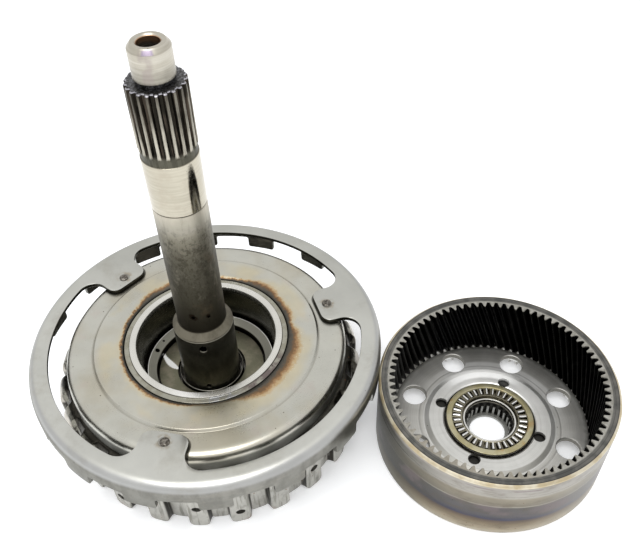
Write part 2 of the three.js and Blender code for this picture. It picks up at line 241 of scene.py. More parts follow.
class Nodes:
    """A short way to write a metal's node tree. Positions are in millimetres."""

    def __init__(self, name):
        self.material = bpy.data.materials.new(name)
        self.material.use_nodes = True
        self.tree = self.material.node_tree
        self.shader = self.tree.nodes["Principled BSDF"]
        self.shader.inputs["Metallic"].default_value = 1.0
        coordinates = self.node("TexCoord")
        scale = self.node("VectorMath")
        scale.operation = "SCALE"
        self.tree.links.new(coordinates.outputs["Object"], scale.inputs[0])
        scale.inputs["Scale"].default_value = 1 / MM
        self.place = scale.outputs[0]

    def node(self, kind):
        """A new node of the tree."""
        return self.tree.nodes.new("ShaderNode" + kind)

    def link(self, source, target):
        """Joins a node's output to an input, or writes a number or a colour into it."""
        if isinstance(source, (int, float)):
            grey = (source, source, source, 1.0)
            target.default_value = grey if target.type == "RGBA" else source
        elif isinstance(source, tuple):
            target.default_value = (*source, 1.0) if len(source) == 3 else source
        else:
            self.tree.links.new(source, target)

    def math(self, operation, a, b=0.0):
        """The result of an arithmetic operation."""
        node = self.node("Math")
        node.operation = operation
        self.link(a, node.inputs[0])
        self.link(b, node.inputs[1])
        return node.outputs[0]

    def mix(self, share, a, b, blend="MIX"):
        """Colour a, with a share of colour b over it."""
        node = self.node("Mix")
        node.data_type = "RGBA"
        node.blend_type = blend
        self.link(share, node.inputs["Factor"])
        self.link(a, node.inputs["A"])
        self.link(b, node.inputs["B"])
        return node.outputs["Result"]

    def layers(self, colour, *layers):
        """Lays tones over a colour, one after another. A layer is (mask, share, tone)."""
        for mask, share, tone in layers:
            colour = self.mix(self.both(mask, share), colour, tone)
        return colour

    def tones(self, value, start, end, first, second):
        """From a first tone to a second one as a value goes from start to end."""
        return self.mix(self.span(value, start, end), first, second)

    def ramp(self, value, stops, smooth=False):
        """A colour ramp; stops are (position, colour) and a colour may be a grey number."""
        node = self.node("ValToRGB")
        node.color_ramp.interpolation = "EASE" if smooth else "LINEAR"
        elements = node.color_ramp.elements
        while len(elements) < len(stops):
            elements.new(1.0)
        for element, (position, colour) in zip(elements, stops):
            element.position = position
            grey = isinstance(colour, (int, float))
            element.color = (colour, colour, colour, 1) if grey else (*colour, 1)
        self.link(value, node.inputs["Fac"])
        return node.outputs["Color"]

    def band(self, value, low, high, soft):
        """1 between two values and 0 outside them, with soft edges."""
        rise = self.span(value, low - soft, low + soft)
        fall = self.span(value, high + soft, high - soft)
        return self.both(rise, fall)

    def span(self, value, start, end):
        """0 to 1 as a value goes from start to end."""
        node = self.node("MapRange")
        node.interpolation_type = "SMOOTHSTEP"
        self.link(value, node.inputs["Value"])
        node.inputs["From Min"].default_value = start
        node.inputs["From Max"].default_value = end
        if start > end:
            node.inputs["From Min"].default_value = end
            node.inputs["From Max"].default_value = start
            node.inputs["To Min"].default_value = 1.0
            node.inputs["To Max"].default_value = 0.0
        return node.outputs["Result"]

    def noise(self, scale, detail=4.0, rough=0.55, stretch=(1, 1, 1), where=None, turn=0.0):
        """Noise with a feature size of about 1 / scale millimetres."""
        mapping = self.node("Mapping")
        mapping.inputs["Scale"].default_value = stretch
        mapping.inputs["Rotation"].default_value = (0, 0, turn)
        self.link(where or self.place, mapping.inputs["Vector"])
        node = self.node("TexNoise")
        self.link(mapping.outputs[0], node.inputs["Vector"])
        node.inputs["Scale"].default_value = scale
        node.inputs["Detail"].default_value = detail
        node.inputs["Roughness"].default_value = rough
        return node.outputs["Fac"]

    def spots(self, scale, size, share):
        """Small round marks of 0 to 1, in a share of the cells of a Voronoi pattern."""
        cells = self.node("TexVoronoi")
        self.link(self.place, cells.inputs["Vector"])
        cells.inputs["Scale"].default_value = scale
        near = self.span(cells.outputs["Distance"], size, size * 0.4)
        colour = self.node("SeparateColor")
        self.link(cells.outputs["Color"], colour.inputs[0])
        chosen = self.math("GREATER_THAN", colour.outputs[0], 1 - share)
        return self.both(near, chosen)

    def scratches(self):
        """Thin crossing lines of 0 to 1."""
        first = self.noise(1.0, 2, stretch=(0.06, 1.6, 1.6), turn=0.5)
        second = self.noise(1.0, 2, stretch=(1.9, 0.05, 1.9), turn=0.2)
        lines = self.either(first, second)
        return self.span(lines, 0.67, 0.73)

    def steepness(self):
        """0 where a face looks straight up or down, 1 where it is upright."""
        geometry = self.node("NewGeometry")
        split = self.node("SeparateXYZ")
        self.link(geometry.outputs["Normal"], split.inputs[0])
        return self.without(self.math("ABSOLUTE", split.outputs["Z"]))

    def both(self, first, second):
        """The product of two masks or numbers."""
        return self.math("MULTIPLY", first, second)

    def either(self, first, second):
        """The larger of two masks."""
        return self.math("MAXIMUM", first, second)

    def without(self, mask):
        """1 where a mask is 0, and 0 where it is 1."""
        return self.math("SUBTRACT", 1.0, mask)

    def round_axis(self, centre):
        """Radius, angle in degrees and height about an upright axis, as three values."""
        split = self.node("SeparateXYZ")
        self.link(self.place, split.inputs[0])
        x = self.math("SUBTRACT", split.outputs["X"], centre[0])
        y = self.math("SUBTRACT", split.outputs["Y"], centre[1])
        angle = self.both(self.math("ARCTAN2", y, x), 360 / TURN)
        return self.length(x, y), angle, split.outputs["Z"]

    def turned_from(self, angle, middle):
        """Degrees between an angle and a middle direction, 0 to 180 either way."""
        turn = self.math("MODULO", self.math("ADD", angle, 900 - middle), 360)
        return self.math("ABSOLUTE", self.math("SUBTRACT", turn, 180))

    def spokes(self, angle):
        """A place on a circle of one unit per degree, so that noise there runs in rays."""
        turn = self.both(angle, TURN / 360)
        size = 360 / TURN
        x = self.both(self.math("COSINE", turn), size)
        y = self.both(self.math("SINE", turn), size)
        return self.vector(x, y, 0.0)

    def from_tab(self):
        """Sideways and outward millimetres from the axis of the nearest tab of the outer ring."""
        radius, angle, _ = self.round_axis(DRUM)
        step = 360 / TAB_COUNT
        turn = self.math("MODULO", self.math("ADD", angle, 720 + step / 2 - TAB_PHASE), step)
        turn = self.both(self.math("SUBTRACT", turn, step / 2), TURN / 360)
        sideways = self.math("ABSOLUTE", self.both(radius, self.math("SINE", turn)))
        return sideways, self.both(radius, self.math("COSINE", turn))

    def tab_shade(self):
        """1 under a tab and just outside its edge: a painted shadow of the tab, with some dirt."""
        sideways, outward = self.from_tab()
        across = self.math("MAXIMUM", self.math("SUBTRACT", sideways, TAB_HALF - TAB_CORNER), 0.0)
        along = self.math("MAXIMUM", self.math("SUBTRACT", TAB_TIP + TAB_CORNER, outward), 0.0)
        reach = self.length(across, along)
        return self.span(reach, TAB_CORNER + 1.3, TAB_CORNER + 0.6)

    def speck(self, centre, radius, degrees, height, size):
        """1 inside a small round mark at a place given round an upright axis."""
        x, y = polar(radius, degrees)
        away = self.node("VectorMath")
        away.operation = "DISTANCE"
        self.link(self.place, away.inputs[0])
        away.inputs[1].default_value = (centre[0] + x, centre[1] + y, height)
        return self.span(away.outputs["Value"], size * 1.3, size * 0.8)

    def length(self, x, y):
        """The distance of the point (x, y) from the origin."""
        return self.math("SQRT", self.math("ADD", self.both(x, x), self.both(y, y)))

    def vector(self, *parts):
        """A vector from its three parts."""
        node = self.node("CombineXYZ")
        for part, socket in zip(parts, node.inputs):
            self.link(part, socket)
        return node.outputs[0]

    def bump(self, height, strength):
        """Fine relief of the surface."""
        node = self.node("Bump")
        node.inputs["Strength"].default_value = strength
        node.inputs["Distance"].default_value = BUMP_DEPTH
        self.link(height, node.inputs["Height"])
        self.link(node.outputs["Normal"], self.shader.inputs["Normal"])

    def set(self, name, value):
        """Writes or joins a value to an input of the shader."""
        self.link(value, self.shader.inputs[name])

    def vary(self, value, noise, amount):
        """A value plus or minus an amount, following a noise of 0 to 1."""
        offset = self.both(self.math("SUBTRACT", noise, 0.5), 2 * amount)
        return self.math("ADD", value, offset)


# ---------------------------------------------------------------- outer lugged ring

TONE_RADIUS = 100.0
TONE_INNER = 88.6
TONE_SHEET = 2.5
TONE_BEND = 6.2
SKIRT_LIFT = 8.0          # of the skirt's edge between two lugs
EDGE_ROUND = 0.5
EDGE_INSET = 0.14         # of the middle of a rounded edge
LUG_COUNT = 16
LUG_HALF = 5.0            # degrees
LUG_PHASE = 6.5
LUG_ROUND = 0.9           # degrees
TAB_COUNT = 3
TAB_PHASE = 17.6
TAB_HALF = 13.0
TAB_TIP = 67.0
TAB_CORNER = 6.0
TAB_FILLET = 9.0
TAB_STRAIGHT = 7.5        # degrees of the outer circle that face half of a tab's tip
RIVET_RADIUS = 73.0


def tab_half_outline():
    """Half of a tab's edge: (angle on the outer circle, x, y) from its tip to the slot."""
    fillet_x = math.sqrt((TONE_INNER - TAB_FILLET) ** 2 - (TAB_HALF + TAB_FILLET) ** 2)
    fillet_y = TAB_HALF + TAB_FILLET
    leave = math.atan2(fillet_y, fillet_x)
    edge = [(TAB_TIP, y) for y in np.linspace(0, TAB_HALF - TAB_CORNER, 5)]
    for angle in np.linspace(0, math.pi / 2, 9)[1:]:
        edge.append((TAB_TIP + TAB_CORNER * (1 - math.cos(angle)),
                     TAB_HALF - TAB_CORNER + TAB_CORNER * math.sin(angle)))
    straight = len(edge)
    for angle in np.linspace(-math.pi / 2, leave, 10):
        edge.append((fillet_x + TAB_FILLET * math.cos(angle), fillet_y + TAB_FILLET * math.sin(angle)))
    on_circle = np.concatenate([
        np.linspace(0, TAB_STRAIGHT - 0.1, straight),
        np.linspace(TAB_STRAIGHT + 0.1, math.degrees(leave), len(edge) - straight)])
    return on_circle, np.array(edge)


def tone_ring_mesh(top):
    """Columns round the ring, each a closed section through the sheet."""
    tab_angles, tab_edge = tab_half_outline()
    reach = tab_angles[-1]
    lug_marks = np.array([0, LUG_HALF - LUG_ROUND, LUG_HALF - 0.5, LUG_HALF - 0.2, LUG_HALF - 0.03,
                          LUG_HALF + 0.03, LUG_HALF + 0.2, LUG_HALF + 0.5, LUG_HALF + LUG_ROUND])
    columns = set(np.round(np.arange(0, 360, 1.0), 3))
    for count, phase, marks in ((LUG_COUNT, LUG_PHASE, lug_marks), (TAB_COUNT, TAB_PHASE, tab_angles)):
        for k in range(count):
            centre = phase + k * 360 / count
            columns |= {round(float((centre + side * mark) % 360), 3) for mark in marks for side in (-1, 1)}
    columns = np.array(sorted(columns))

    def edge_point(angle):
        offset = from_nearest(angle, TAB_PHASE, TAB_COUNT)
        if abs(offset) >= reach:
            return polar(TONE_INNER, angle)
        x = np.interp(abs(offset), tab_angles, tab_edge[:, 0])
        y = math.copysign(np.interp(abs(offset), tab_angles, tab_edge[:, 1]), offset)
        turn = math.radians(angle - offset)
        return x * math.cos(turn) - y * math.sin(turn), x * math.sin(turn) + y * math.cos(turn)

    def skirt_bottom(angle):
        offset = abs(from_nearest(angle, LUG_PHASE, LUG_COUNT))
        t = (offset - LUG_HALF) / LUG_ROUND
        round_mm = math.radians(LUG_ROUND) * TONE_RADIUS
        if t <= -1:
            return lug_low
        if t < 0:
            return lug_low + round_mm * (1 - math.sqrt(max(0, 1 - (1 + t) ** 2)))
        if t < 1:
            return skirt_low - round_mm * (1 - math.sqrt(max(0, 1 - (1 - t) ** 2)))
        return skirt_low

    def bend_points(outward, radius, turns):
        return [(outward * (flat + radius * math.sin(a)), bend_low + radius * math.cos(a)) for a in turns]

    lug_low = bottom_of("tone_ring")
    skirt_low = lug_low + SKIRT_LIFT
    flat = TONE_RADIUS - TONE_BEND
    bend_low = top - TONE_BEND
    rings = []
    for angle in columns:
        edge = Vector(edge_point(angle))
        circle = Vector(polar(flat, angle))
        outward = Vector(polar(1, angle))
        inward = (circle - edge).normalized()
        low = skirt_bottom(angle)
        section = [
            (edge, top - TONE_SHEET + 0.4), (edge, top - EDGE_ROUND),
            (edge + inward * EDGE_INSET, top - EDGE_INSET), (edge + inward * EDGE_ROUND, top),
            (edge.lerp(circle, 0.4), top), (circle, top),
        ]
        section += bend_points(outward, TONE_BEND, np.linspace(0, math.pi / 2, 10)[1:])
        section += [
            (outward * TONE_RADIUS, (bend_low + low) / 2), (outward * TONE_RADIUS, low + EDGE_ROUND),
            (outward * (TONE_RADIUS - EDGE_INSET), low + EDGE_INSET),
            (outward * (TONE_RADIUS - EDGE_ROUND), low), (outward * (TONE_RADIUS - TONE_SHEET + 0.4), low),
            (outward * (TONE_RADIUS - TONE_SHEET), low + 0.4),
        ]
        section += bend_points(outward, TONE_BEND - TONE_SHEET, np.linspace(math.pi / 2, 0, 6))
        section += [(edge.lerp(circle, 0.4), top - TONE_SHEET), (edge + inward * 0.4, top - TONE_SHEET)]
        rings.append([(p.x, p.y, z) for p, z in section])
    rings = np.array(rings)
    return make_piece("tone_ring_sheet", rings, grid_faces(*rings.shape[:2]))


def build_tone_ring(material, rivet_material):
    """The outer lugged ring and the three rivets of its tabs."""
    ring = tone_ring_mesh(top_of("tone_ring"))
    clean(ring)
    install(ring, "drum", ["tone_ring"], material, 40)
    for k in range(TAB_COUNT):
        name = f"tab_rivet_{k + 1}"
        low, high = levels(name)
        rivet = turned(f"rivet_{k + 1}", [
            (0, low - 0.6), (2.6, low - 0.6), (2.7, low + 0.1, 0.3), (1.9, high - 0.25, 0.6),
            (0.9, high - 0.35), (0, high - 0.5),
        ], axis_of(name), 32)
        install(rivet, "drum", [name], rivet_material)


# ---------------------------------------------------------------- drum

COVER_SHOULDER = 79.8
COVER_SHEET = 2.5
COVER_BORE = 47.0
STEP_RADIUS = 63.6
NECK_BORE = 38.6
NECK_OUTER = 46.6


def build_cover(material):
    """The drum's cover: a turned sheet with a step, a shoulder and a bore round the neck."""
    low, top = levels("drum_cover")
    face = top - 2.1
    inside = COVER_SHOULDER - COVER_SHEET
    cover = turned("drum_cover_face", [
        (COVER_SHOULDER, low), (COVER_SHOULDER, face, 6.0), (STEP_RADIUS + 0.8, face, 0.5),
        (STEP_RADIUS - 0.4, face + 1.35, 0.6), (56, top - 0.35, 3), (49.2, top, 0.8),
        (COVER_BORE, top - 0.9, 0.4), (COVER_BORE, top - COVER_SHEET - 0.4),
        (STEP_RADIUS - 3, face + 1.1 - COVER_SHEET, 0.8), (STEP_RADIUS, face - COVER_SHEET, 0.8),
        (inside, face - COVER_SHEET, 2.8), (inside, low),
    ], segments=320, steps=8)
    install(cover, "drum", ["drum_cover"], material)


def build_neck(material):
    """The neck sleeve, with a raised land on its top."""
    low, top = levels("neck_sleeve")
    neck = turned("neck_land", [
        (38.8, low), (NECK_OUTER, low), (NECK_OUTER, top - 0.9, 0.5), (43.9, top - 0.85, 0.2),
        (43.5, top - 0.1, 0.25), (39.9, top, 0.4), (38.9, top - 3.2, 0.5), (NECK_BORE, top - 9),
        (NECK_BORE, low + 8), (38.8, low + 7.4),
    ], segments=320)
    install(neck, "drum", ["neck_sleeve"], material)


WALL_TEETH = 24
WALL_PHASE = -122.0
WALL_TOOTH = 88.0
WALL_VALLEY = 83.2
WALL_SHEET = 2.5
WALL_STEPS = 40           # points round each tooth and valley
TOOTH_TOP_HALF = 3.4      # degrees
TOOTH_FOOT_HALF = 4.7
OIL_HOLE_HALVES = (2.15, 2.6)            # half height and half width
OIL_HOLE_HEIGHTS = {0: 10.3, 2: 17.7}    # by tooth, in a pattern of three
WALL_PITS = ((3.4, 15.5), (-4.6, 25.5))  # angle from a tooth and height
CROWN_HEIGHT = 11.5       # of the bend that closes the wall towards the cover
CROWN_RADIUS = 80.4
WALL_SEAT = 75.0          # inner radius of the flat top of the wall
WALL_FOOT = 2.6           # height of the rounded corners at the foot of a tooth


def wall_radius(angles, inset):
    """Outer radius of the corrugated wall, pushed in by an inset, at angles in degrees."""
    offset = np.abs(from_nearest(angles, WALL_PHASE, WALL_TEETH))
    lean = math.degrees(inset / WALL_TOOTH) * 0.9
    tooth = 1 - smoothstep(TOOTH_TOP_HALF - lean, TOOTH_FOOT_HALF - lean, offset)
    return WALL_VALLEY + (WALL_TOOTH - WALL_VALLEY) * tooth - inset


def build_clutch_drum(material):
    """The corrugated wall with its rounded upper edge, oil holes and small pits."""
    low, top = levels("clutch_drum")
    count = WALL_TEETH * WALL_STEPS
    angles = np.arange(count) * 360 / count
    outside, inside = wall_radius(angles, 0), wall_radius(angles, WALL_SHEET)
    pitch = 360 / WALL_TEETH
    from_tooth = np.abs(from_nearest(angles, WALL_PHASE, WALL_TEETH))
    on_tooth = low + WALL_FOOT * np.clip((from_tooth - 1.6) / 2.2, 0, 1) ** 2.2
    off_tooth = low + WALL_FOOT * (1 - smoothstep(4.1, 5.0, from_tooth))
    foot = np.where(from_tooth < 4.1, on_tooth, off_tooth)
    section = [(inside, foot + 0.5), (inside + 0.5, foot), (outside - 0.7, foot),
               (outside - 0.2, foot + 0.25), (outside, foot + 0.8)]
    crown = top - CROWN_HEIGHT
    section += [(outside, z) for z in (6, 14, 22, crown)]
    for t in np.linspace(0, 1, 9)[1:]:
        radius = outside - (1 - math.cos(t * math.pi / 2)) * (outside - CROWN_RADIUS)
        section.append((radius, crown + CROWN_HEIGHT * math.sin(t * math.pi / 2)))
    seat = np.full_like(outside, WALL_SEAT)
    section += [(seat, top), (seat, top - WALL_SHEET),
                (CROWN_RADIUS - 3, top - WALL_SHEET), (inside - 1.2, crown + 1), (inside, 20)]
    points = np.stack([ring_of(r, np.radians(angles), z) for r, z in section], axis=1)
    wall = make_piece("clutch_drum_wall", points, grid_faces(*points.shape[:2]))
    clean(wall)
    cutters = []
    for k in range(WALL_TEETH):
        angle = WALL_PHASE + k * pitch
        if k % 3 in OIL_HOLE_HEIGHTS:
            place = radial(angle, OIL_HOLE_HEIGHTS[k % 3])
            oval = place @ Matrix.Diagonal((*OIL_HOLE_HALVES, 1, 1))
            cutters.append(bar("oil_hole", 1, 78, 92, oval, DRUM, 28))
        else:
            for offset, height in WALL_PITS:
                place = radial(angle + pitch / 2 + offset, height)
                cutters.append(bar("wall_pit", 0.8, 82, 92, place, DRUM, 16))
    cut(wall, cutters)
    clean(wall, 0.0005)
    install(wall, "drum", ["clutch_drum"], material)


# ---------------------------------------------------------------- planet carrier

GEAR_MODULE = 1.49
SUN_TEETH = 33
PLANET_TEETH = 23
RING_TEETH = 79
PLANETS = 4
POST_PHASE = 50.0
POST_ORBIT = 50.0
POCKET_ORBIT = 62.0
CARRIER_FLOOR = 30.0
LEDGE_RADIUS = 31.2       # of the wall between the floor and the ledge
SHAFT_OPENING = 20.0
PLATE_RADIUS = 80.1
HELIX = math.radians(20)
PRESSURE = math.radians(20)
BACKLASH = 0.2
ROOT_DEPTH = 1.2          # of a tooth's root from the pitch circle, in modules
TIP_HEIGHT = 0.9
RING_TIP_HEIGHT = 1.15
SUN_BORE = 14.9
PLANET_BORE = 8.5
PIN_RADIUS = 5.5
POST_RADIUS = 6.0
WASHER_BORE = 5.9
WASHER_OUTER = 12.5
PLANET_ROLLERS = 18
PLANET_ROLLER_RADIUS = 1.15
PLANET_ROLLER_ORBIT = 6.95


def build_upper_plate(material):
    """The carrier's upper plate: cone, ledge, floor and four pockets."""
    low, top = levels("carrier_upper_plate")
    under = CARRIER_FLOOR - 3.4
    plate = turned("carrier_plate_upper", [
        (SHAFT_OPENING, low), (PLATE_RADIUS, low), (PLATE_RADIUS, low + 3.5), (38.15, low + 3.5),
        (38.15, top - 0.9, 0.3), (37.0, top, 0.25), (32.1, top - 1.9, 0.25), (32.0, under),
        (LEDGE_RADIUS, under), (LEDGE_RADIUS, CARRIER_FLOOR, 0.4), (SHAFT_OPENING, CARRIER_FLOOR, 0.3),
    ], segments=256)
    cutters = [
        bar("ledge_hole", 1.35, 26, 40, upright(34.6, 163), DRUM, 24),
        bar("ledge_hole_small", 0.7, 30, 40, upright(34.9, 150), DRUM, 16),
    ]
    for place in evenly(POCKET_ORBIT, POST_PHASE, PLANETS):
        cutters.append(bar("pocket", 7, low - 1, low + 5, place, DRUM, 40))
    cut(plate, cutters)
    install(plate, "drum", ["carrier_upper_plate"], material)


def build_lower_plate(material):
    """The carrier's lower plate with its four posts."""
    low, top = levels("carrier_lower_plate")
    disc_top = low + 3.0
    plate = turned("carrier_plate_lower", [
        (19.8, low, 0.4), (60, low, 0.8), (60, disc_top, 0.8), (19.8, disc_top, 0.4),
    ], segments=192)
    places = evenly(POST_ORBIT, POST_PHASE, PLANETS)
    join([plate, *(bar("post", POST_RADIUS, disc_top - 0.5, top, place, DRUM) for place in places)])
    install(plate, "drum", ["carrier_lower_plate"], material)


def involute(angle):
    """The involute of a pressure angle."""
    return math.tan(angle) - angle


def tooth_half(teeth, radius, thinning):
    """Half the angle of an involute tooth at a radius, in radians."""
    pitch_radius = GEAR_MODULE * teeth / 2
    base = pitch_radius * math.cos(PRESSURE)
    flank = math.acos(min(1, base / max(base, radius)))
    return math.pi / (2 * teeth) + involute(PRESSURE) - involute(flank) - thinning / (2 * pitch_radius)


def tooth_outline(teeth, root, tip, thinning, soft=0.18):
    """Angles and radii of one tooth and the gap after it, in order round the gear."""
    flank_radii = np.linspace(root + soft, tip - soft, 5)
    half = [tooth_half(teeth, r, thinning) for r in flank_radii]
    angles = [-h for h in half] + [-half[-1] * 0.72, 0, half[-1] * 0.72] + list(reversed(half))
    radii = list(flank_radii) + [tip, tip, tip] + list(flank_radii[::-1])
    gap = TURN / teeth - half[0]
    angles += [half[0] + (gap - half[0]) * t for t in (0.18, 0.5, 0.82)]
    radii += [root, root, root]
    return np.array(angles), np.array(radii)


def gear_wall(teeth, root, tip, phase, low, high, hand, thinning, rows=13, chamfer=0.35):
    """Points of a helical toothed wall, one row for each height, and the height of each."""
    angles, radii = tooth_outline(teeth, root, tip, thinning)
    all_angles = np.concatenate([angles + phase + k * TURN / teeth for k in range(teeth)])
    all_radii = np.tile(radii, teeth)
    middle_heights = np.linspace(low + 2, high - 2, rows)
    heights = np.concatenate([[low, low + chamfer], middle_heights, [high - chamfer, high]])
    middle = (low + high) / 2
    pitch_radius = GEAR_MODULE * teeth / 2
    rings = []
    for height in heights:
        twist = hand * math.tan(HELIX) * (height - middle) / pitch_radius
        edge = height in (low, high)
        shrink = np.clip(all_radii - (tip - chamfer), 0, None) if edge and tip > root else 0
        rings.append(ring_of(all_radii - shrink, all_angles + twist, height))
    return np.array(rings)


def external_gear(name, teeth, centre, phase, low, high, bore, hand):
    """A helical gear with a chamfered bore, as one closed grid."""
    pitch_radius = GEAR_MODULE * teeth / 2
    root, tip = pitch_radius - ROOT_DEPTH * GEAR_MODULE, pitch_radius + TIP_HEIGHT * GEAR_MODULE
    wall = gear_wall(teeth, root, tip, phase, low, high, hand, BACKLASH)
    around = np.arctan2(wall[..., 1], wall[..., 0])
    rings = [ring_of(bore + 0.4, around[-1], high), ring_of(bore, around[0], high - 0.4),
             ring_of(bore, around[0], low + 0.4), ring_of(bore + 0.4, around[0], low)]
    points = np.concatenate([wall, rings])
    gear = make_piece(name, points, grid_faces(*points.shape[:2]), centre)
    clean(gear)
    return gear


def planet_phase(orbit):
    """The turn of a planet, in radians, that meshes it with the sun beside it."""
    sun_pitch = 360 / SUN_TEETH
    part = orbit / sun_pitch - math.floor(orbit / sun_pitch)
    return math.radians(orbit + 180 - (0.5 - part) * 360 / PLANET_TEETH)


def build_planets(gear_material, roller_material, washer_material):
    """Four planets, each with its rollers, two washers and a pin in the carrier."""
    for k in range(PLANETS):
        number = k + 1
        body = f"planet_{'abcd'[k]}"
        low, high = levels(f"planet_gear_{number}")
        centre = axis_of(f"planet_pin_{number}")
        orbit = math.degrees(math.atan2(centre[1] - DRUM[1], centre[0] - DRUM[0]))
        gear = external_gear(f"planet_wheel_{number}", PLANET_TEETH, centre, planet_phase(orbit),
                             low, high, PLANET_BORE, -1)
        install(gear, body, [f"planet_gear_{number}"], gear_material)
        build_planet_rollers(number, body, centre, roller_material)
        for level in ("low", "high"):
            node = f"planet_washer_{level}_{number}"
            low, high = levels(node)
            washer = turned(f"washer_{level}_{number}", [
                (WASHER_BORE, low, 0.15), (WASHER_OUTER, low, 0.2), (WASHER_OUTER, high, 0.2),
                (WASHER_BORE, high, 0.15)], centre, 64, 3)
            install(washer, body, [node], washer_material)
        pin_node = f"planet_pin_{number}"
        low, high = levels(pin_node)
        pin = turned(f"pin_{number}", [
            (0, low), (PIN_RADIUS, low, 0.6), (PIN_RADIUS, high, 0.6), (0, high)], centre, 64)
        install(pin, "drum", [pin_node], roller_material)


def build_planet_rollers(number, body, centre, material):
    """A full ring of needle rollers between a planet and its pin."""
    node = f"planet_needles_{number}"
    low, high = levels(node)
    places = evenly(PLANET_ROLLER_ORBIT, 0, PLANET_ROLLERS)
    needles = join([bar("roller", PLANET_ROLLER_RADIUS, low, high, place, centre, 12) for place in places])
    needles.name = f"needle_rollers_{number}"
    install(needles, body, [node], material)


def build_sleeve(material):
    """The thin sleeve round the foot of the shaft."""
    low, top = levels("shaft_sleeve")
    sleeve = turned("shaft_sleeve_ring", [
        (18.1, low), (18.9, low), (18.9, top - 0.2, 0.2), (18.5, top, 0.2), (18.1, top - 0.4, 0.2)],
        segments=160)
    install(sleeve, "drum", ["shaft_sleeve"], material)


# ---------------------------------------------------------------- input shaft

SPLINE_TEETH = 21
SPLINE_CREST = 13.65
SPLINE_ROOT = 12.0
SPLINE_PHASE = -99.0
SPLINE_LOW = 187.8
SPLINE_HIGH = 221.0
SPLINE_RELIEF = 13.1
JOURNAL = 13.55
BODY_RADIUS = 13.4
COLLAR_RADIUS = 16.8
TIP_RADIUS = 9.3
TIP_BORE = 5.0
TIP_BORE_DEPTH = 24.0
SHAFT_HOLES = (           # radius, inner end, height, angle, segments, chamfer, flare
    (2.1, 8, 65.2, -87, 28, 0.6, 0.95), (1.5, 8, 32.6, -90, 24, 0.5, 1.0),
    (1.15, 6, 87.4, -98, 24, 0.0, 0.0), (0.95, 6, 86.6, -62, 24, 0.0, 0.0),
)
HOLE_LENGTH = 10.0


def round_spline(teeth, per_tooth, phase):
    """Angles round a spline in degrees, and how far each is from the nearest tooth, in teeth."""
    count = teeth * per_tooth
    angles = np.arange(count) * 360 / count
    return angles, np.abs(from_nearest(angles, phase, teeth)) / (360 / teeth)


def shaft_profile(low):
    """(radius, height) from the foot of the shaft to the floor of its oil bore."""
    return rounded([
        (0, low), (14.6, low, 0.8), (14.6, 23.2, 0.3), (COLLAR_RADIUS, 23.2, 0.5),
        (COLLAR_RADIUS, 70.4, 0.25), (COLLAR_RADIUS - 0.3, 70.7), (COLLAR_RADIUS - 0.3, 71.1),
        (COLLAR_RADIUS, 71.4, 0.6), (BODY_RADIUS, 75.6, 0.8), (BODY_RADIUS, 110), (BODY_RADIUS, 156.1),
        (BODY_RADIUS - 0.35, 156.3), (BODY_RADIUS - 0.35, 156.7), (JOURNAL, 156.9, 0.15),
        (JOURNAL, 170), (JOURNAL, 184.4, 0.2), (SPLINE_RELIEF, 184.6, 0.2), (SPLINE_RELIEF, SPLINE_LOW),
    ], 5)


def build_shaft(material):
    """One grid of points up the shaft, with the spline as a wave of its radius."""
    low, top = levels("input_shaft")
    lower = shaft_profile(low)
    neck = TIP_RADIUS - 0.5
    upper = rounded([
        (neck, SPLINE_HIGH + 0.2, 0.2), (neck, SPLINE_HIGH + 1.6, 0.2),
        (TIP_RADIUS, SPLINE_HIGH + 2.1, 0.2), (TIP_RADIUS, 230), (TIP_RADIUS, top - 2.3, 0.6),
        (TIP_RADIUS - 1.9, top, 0.7), (TIP_BORE + 0.8, top, 0.3), (TIP_BORE, top - 0.8, 0.2),
        (TIP_BORE, top - TIP_BORE_DEPTH), (0, top - TIP_BORE_DEPTH),
    ], 5)
    spline_heights = [SPLINE_LOW + 0.01, *np.linspace(SPLINE_LOW + 0.6, SPLINE_LOW + 4.2, 8),
                      *np.linspace(SPLINE_LOW + 7, SPLINE_HIGH - 2.4, 8)]
    spline_heights += [SPLINE_HIGH + offset for offset in (-1.3, -1.0, -0.6, -0.2, 0.05, 0.15)]
    angles, offset = round_spline(SPLINE_TEETH, 18, SPLINE_PHASE)
    crest = 1 - smoothstep(0.12, 0.36, offset)
    rows = list(lower)
    for height in spline_heights:
        start = float(smoothstep(SPLINE_LOW, SPLINE_LOW + 4.2, height))
        root = SPLINE_RELIEF + (SPLINE_ROOT - SPLINE_RELIEF) * start
        rise = float(smoothstep(SPLINE_LOW, SPLINE_LOW + 1.6, height))
        tip = SPLINE_RELIEF + (SPLINE_CREST - SPLINE_RELIEF) * rise
        tip = min(tip, SPLINE_CREST - 0.9 * max(0.0, height - (SPLINE_HIGH - 1.0)))
        root = min(root, tip)
        rows.append((root + (tip - root) * crest, height))
    rows += upper
    points = np.stack([ring_of(r, np.radians(angles), z) for r, z in rows])
    shaft = make_piece("main_shaft", points, grid_faces(len(rows), len(angles), closed_rows=False))
    clean(shaft)
    holes = []
    for radius, start, height, angle, *shape in SHAFT_HOLES:
        place = radial(angle, height)
        holes.append(bar("oil_hole", radius, start, start + HOLE_LENGTH, place, DRUM, *shape))
    cut(shaft, holes)
    install(shaft, "shaft", ["input_shaft"], material, 36)


def build_sun(material, dark):
    """The sun gear and its spring ring."""
    low, top = levels("sun_gear")
    sun = external_gear("sun_wheel", SUN_TEETH, DRUM, 0, low, top, SUN_BORE, 1)
    install(sun, "shaft", ["sun_gear"], material)
    clip = open_ring("sun_clip", "sun_snap_ring", 13.8, 17.4, 40, DRUM)
    install(clip, "shaft", ["sun_snap_ring"], dark)


